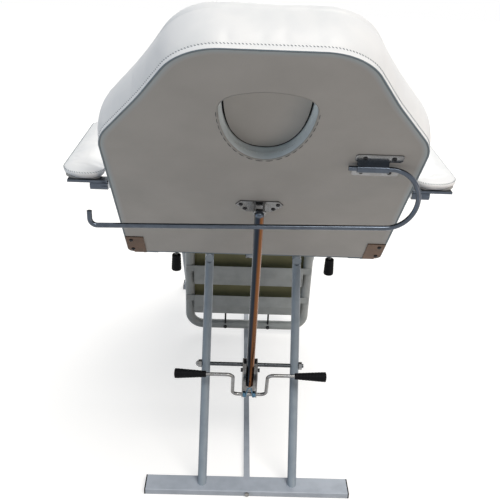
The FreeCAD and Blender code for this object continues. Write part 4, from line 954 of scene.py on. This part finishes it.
def wireSkin(name, path, radius, sides, finish):
    # a round wire along a path, its ring carried on from point to point without twist
    points = [Vector(p) for p in path]
    side = None
    vertices = []
    for k, here in enumerate(points):
        ahead = (points[min(k + 1, len(points) - 1)] - points[max(k - 1, 0)]).normalized()
        side = ahead.orthogonal() if side is None else side - ahead * side.dot(ahead)
        side = side.normalized()
        other = ahead.cross(side)
        for q in range(sides):
            angle = 2 * math.pi * q / sides
            vertices.append(here + (side * math.cos(angle) + other * math.sin(angle)) * radius)
    return newPiece(name, vertices, skinFaces(0, len(points), sides), finish)


tongue = {"half": 16.2, "high": -13.0, "low": -113.0, "corner": 5.0, "level": -6.6, "thick": 1.3, "curlFrom": -92.0,
          "curl": -5.0, "columns": 12, "rows": 40}
tongueVertices, tongueFaces = [], []
for layer in (0, 1):
    for j in range(tongue["rows"] + 1):
        z = tongue["high"] + (tongue["low"] - tongue["high"]) * j / tongue["rows"]
        into = max(0.0, tongue["low"] + tongue["corner"] - z)
        half = tongue["half"] - tongue["corner"] + math.sqrt(max(0.0, tongue["corner"] ** 2 - into ** 2))
        bent = tongue["curl"] * (max(0.0, tongue["curlFrom"] - z) / (tongue["curlFrom"] - tongue["low"])) ** 2
        for i in range(tongue["columns"] + 1):
            x = half * (2 * i / tongue["columns"] - 1)
            y = tongue["level"] - bent + layer * tongue["thick"]
            tongueVertices.append(strutPlace @ (Vector((x, y, z)) * mm))
wide, layerSize = tongue["columns"] + 1, (tongue["columns"] + 1) * (tongue["rows"] + 1)
for j in range(tongue["rows"]):
    for i in range(tongue["columns"]):
        quad = (j * wide + i, j * wide + i + 1, (j + 1) * wide + i + 1, (j + 1) * wide + i)
        tongueFaces.append(quad[::-1])
        tongueFaces.append(tuple(v + layerSize for v in quad))
rim = list(range(wide)) + [j * wide + wide - 1 for j in range(1, tongue["rows"] + 1)]
rim += [tongue["rows"] * wide + i for i in range(wide - 2, -1, -1)]
rim += [j * wide for j in range(tongue["rows"] - 1, 0, -1)]
for a, b in zip(rim, rim[1:] + rim[:1]):
    tongueFaces.append((a, b, b + layerSize, a + layerSize))
tonguePlate = newPiece("lockTongue", tongueVertices, tongueFaces, "zinc", smooth=False)
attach(tonguePlate, "back_lock")

spring = {"axis": (-33.5, -78.0), "coil": 7.0, "wire": 1.5, "near": 9.0, "far": 15.5, "turns": 3, "steps": 20,
          "reach": 32.0, "loop": 5.0, "lean": 1.5, "legSteps": 8, "bendSteps": 6, "sides": 10}
springPath = []
for mirror in (-1, 1):
    half = []
    count = spring["turns"] * spring["steps"]
    for k in range(count + 1):
        angle = math.pi - 2 * math.pi * k / spring["steps"]
        x = mirror * (spring["far"] + (spring["near"] - spring["far"]) * k / count)
        half.append((x, spring["axis"][0] + math.cos(angle) * spring["coil"],
                     spring["axis"][1] + math.sin(angle) * spring["coil"]))
    x, y, z = half[-1]
    leg = spring["reach"] - spring["loop"]
    for k in range(1, spring["legSteps"] + 1):
        t = k / spring["legSteps"]
        half.append((x - (x - mirror * spring["loop"]) * t, y + spring["lean"] * t, z + leg * t))
    for k in range(1, spring["bendSteps"] + 1):
        angle = math.pi / 2 * k / spring["bendSteps"]
        half.append((mirror * spring["loop"] * math.cos(angle), y + spring["lean"],
                     z + leg + spring["loop"] * math.sin(angle)))
    springPath += half if mirror < 0 else half[-2::-1]
returnSpring = wireSkin("leverReturnSpring", [strutPlace @ (Vector(p) * mm) for p in springPath],
                        spring["wire"] * mm, spring["sides"], "blueZinc")
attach(returnSpring, "back_lock")

weld = {"tube": 11.0, "bead": 1.7, "ripple": 0.35, "ripples": 15, "steps": 90, "sides": 8, "level": 16.0}
feet = {"rear": {"x": 0.112, "y": -0.399833, "lean": 30.2}, "front": {"x": 0.220, "y": 0.682167, "lean": -40.68}}
for footName, foot in feet.items():
    weldVertices, weldFaces = [], []
    stretch = 1 / math.cos(math.radians(foot["lean"]))
    for mirror in (1, -1):
        base = len(weldVertices)
        for k in range(weld["steps"]):
            angle = 2 * math.pi * k / weld["steps"]
            way = Vector((math.cos(angle), math.sin(angle) * stretch, 0))
            spot = Vector((mirror * foot["x"], foot["y"], weld["level"] * mm)) + way * weld["tube"] * mm
            bead = weld["bead"] * (1 + weld["ripple"] * math.sin(angle * weld["ripples"])) * mm
            for q in range(weld["sides"]):
                roll = 2 * math.pi * q / weld["sides"]
                rise = Vector((0, 0, bead * math.sin(roll)))
                weldVertices.append(spot + way.normalized() * bead * math.cos(roll) + rise)
        for k in range(weld["steps"]):
            first = base + k * weld["sides"]
            second = base + (k + 1) % weld["steps"] * weld["sides"]
            weldFaces += ringFaces(first, second, weld["sides"])
    beads = newPiece("weldBeads_" + footName, weldVertices, weldFaces, "paint")
    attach(beads, "stand")
print("grips, screws, lock and welds made")


# Floor, light and camera

def seenDirectly(tree):
    # 1 for the rays that meet the eye straight from the camera, or by way of metal or glass
    rays = addNode(tree, "ShaderNodeLightPath")
    seen = rays.outputs["Is Camera Ray"]
    for kind in ("Is Glossy Ray", "Is Transmission Ray"):
        seen = addNode(tree, "ShaderNodeMath", {"operation": "MAXIMUM"}, {0: seen, 1: rays.outputs[kind]}).outputs[0]
    return seen


studio = {"reach": 9, "floor": "#BDBBB8", "rough": 0.9, "glow": 0.62, "ambient": 0.28, "ambientColour": "#E2EAF3"}
reach = studio["reach"]
floorMesh = bpy.data.meshes.new("studioFloor")
floorMesh.from_pydata([(-reach, -reach, 0), (reach, -reach, 0), (reach, reach, 0), (-reach, reach, 0)], [],
                      [(0, 1, 2, 3)])
floor = bpy.data.objects.new("studioFloor", floorMesh)
scene.collection.objects.link(floor)
floorPaint = bpy.data.materials.new("paleStudioFloor")
floorPaint.use_nodes = True
floorTree = floorPaint.node_tree
floorShader = floorTree.nodes["Principled BSDF"]
floorShader.inputs["Base Color"].default_value = hexColour(studio["floor"])
floorShader.inputs["Roughness"].default_value = studio["rough"]
floorShader.inputs["Emission Color"].default_value = (1, 1, 1, 1)
glow = addNode(floorTree, "ShaderNodeMath", {"operation": "MULTIPLY", 1: studio["glow"]}, {0: seenDirectly(floorTree)})
floorTree.links.new(glow.outputs[0], floorShader.inputs["Emission Strength"])
floorMesh.materials.append(floorPaint)

world = bpy.data.worlds.new("softStudio")
scene.world = world
world.use_nodes = True
worldTree = world.node_tree
worldTree.nodes.clear()
ambient = addNode(worldTree, "ShaderNodeBackground",
                  {"Color": hexColour(studio["ambientColour"]), "Strength": studio["ambient"]})
white = addNode(worldTree, "ShaderNodeBackground", {"Color": (1, 1, 1, 1), "Strength": 1.0})
choice = addNode(worldTree, "ShaderNodeMixShader", None,
                 {0: seenDirectly(worldTree), 1: ambient.outputs[0], 2: white.outputs[0]})
addNode(worldTree, "ShaderNodeOutputWorld", None, {"Surface": choice.outputs[0]})

lamps = {
    "overheadSoftKey": {"kind": "SUN", "at": (0.5, -0.75, 1.55), "aim": (0, 0, 0), "spread": 34, "power": 2.4,
                        "colour": "#FFFCF7"},
    "coolSideFill": {"kind": "AREA", "at": (-3.0, -1.4, 1.0), "aim": (0, -0.3, 0.8), "size": 1.8, "power": 7,
                     "colour": "#8CC0F5"},
    "frontFill": {"kind": "AREA", "at": (0.6, 3.4, 2.0), "aim": (0, 0.1, 0.7), "size": 2.4, "power": 40,
                  "colour": "#FBFAF8"},
    "warmFloorFill": {"kind": "AREA", "at": (1.8, -1.9, 0.3), "aim": (0.2, -0.4, 0.7), "size": 1.2, "power": 6,
                      "colour": "#F6D3B8"},
}
for lampName, lampSpec in lamps.items():
    lampData = bpy.data.lights.new(lampName, lampSpec["kind"])
    lampData.energy = lampSpec["power"]
    lampData.color = hexColour(lampSpec["colour"])[:3]
    if lampSpec["kind"] == "SUN":
        lampData.angle = math.radians(lampSpec["spread"])
    else:
        lampData.shape = "DISK"
        lampData.size = lampSpec["size"]
    lamp = bpy.data.objects.new(lampName, lampData)
    scene.collection.objects.link(lamp)
    lamp.location = lampSpec["at"]
    lamp.rotation_euler = (Vector(lampSpec["aim"]) - Vector(lampSpec["at"])).to_track_quat("-Z", "Y").to_euler()

view = {"at": (-0.0498, -1.833133, 1.3176), "pitch": 24.67, "yaw": 1.44, "roll": 2.37, "focalPx": 738.7, "framePx": 500,
        "middlePx": 251.0, "sensor": 36.0, "far": 60}
cameraData = bpy.data.cameras.new("photoCamera")
camera = bpy.data.objects.new("photoCamera", cameraData)
scene.collection.objects.link(camera)
pitch, yaw, roll = (math.radians(view[k]) for k in ("pitch", "yaw", "roll"))
ahead = Vector((math.sin(yaw) * math.cos(pitch), math.cos(yaw) * math.cos(pitch), -math.sin(pitch)))
level = Vector((math.cos(yaw), -math.sin(yaw), 0))
down = ahead.cross(level)
right = level * math.cos(roll) - down * math.sin(roll)
low = level * math.sin(roll) + down * math.cos(roll)
camera.matrix_world = Matrix.Translation(view["at"]) @ Matrix((right, -low, -ahead)).transposed().to_4x4()
cameraData.sensor_width = view["sensor"]
cameraData.lens = view["sensor"] * view["focalPx"] / view["framePx"]
cameraData.shift_x = (view["framePx"] / 2 - view["middlePx"]) / view["framePx"]
cameraData.clip_end = view["far"]
scene.camera = camera
scene.view_settings.view_transform = "Standard"
print("floor, light and camera set")
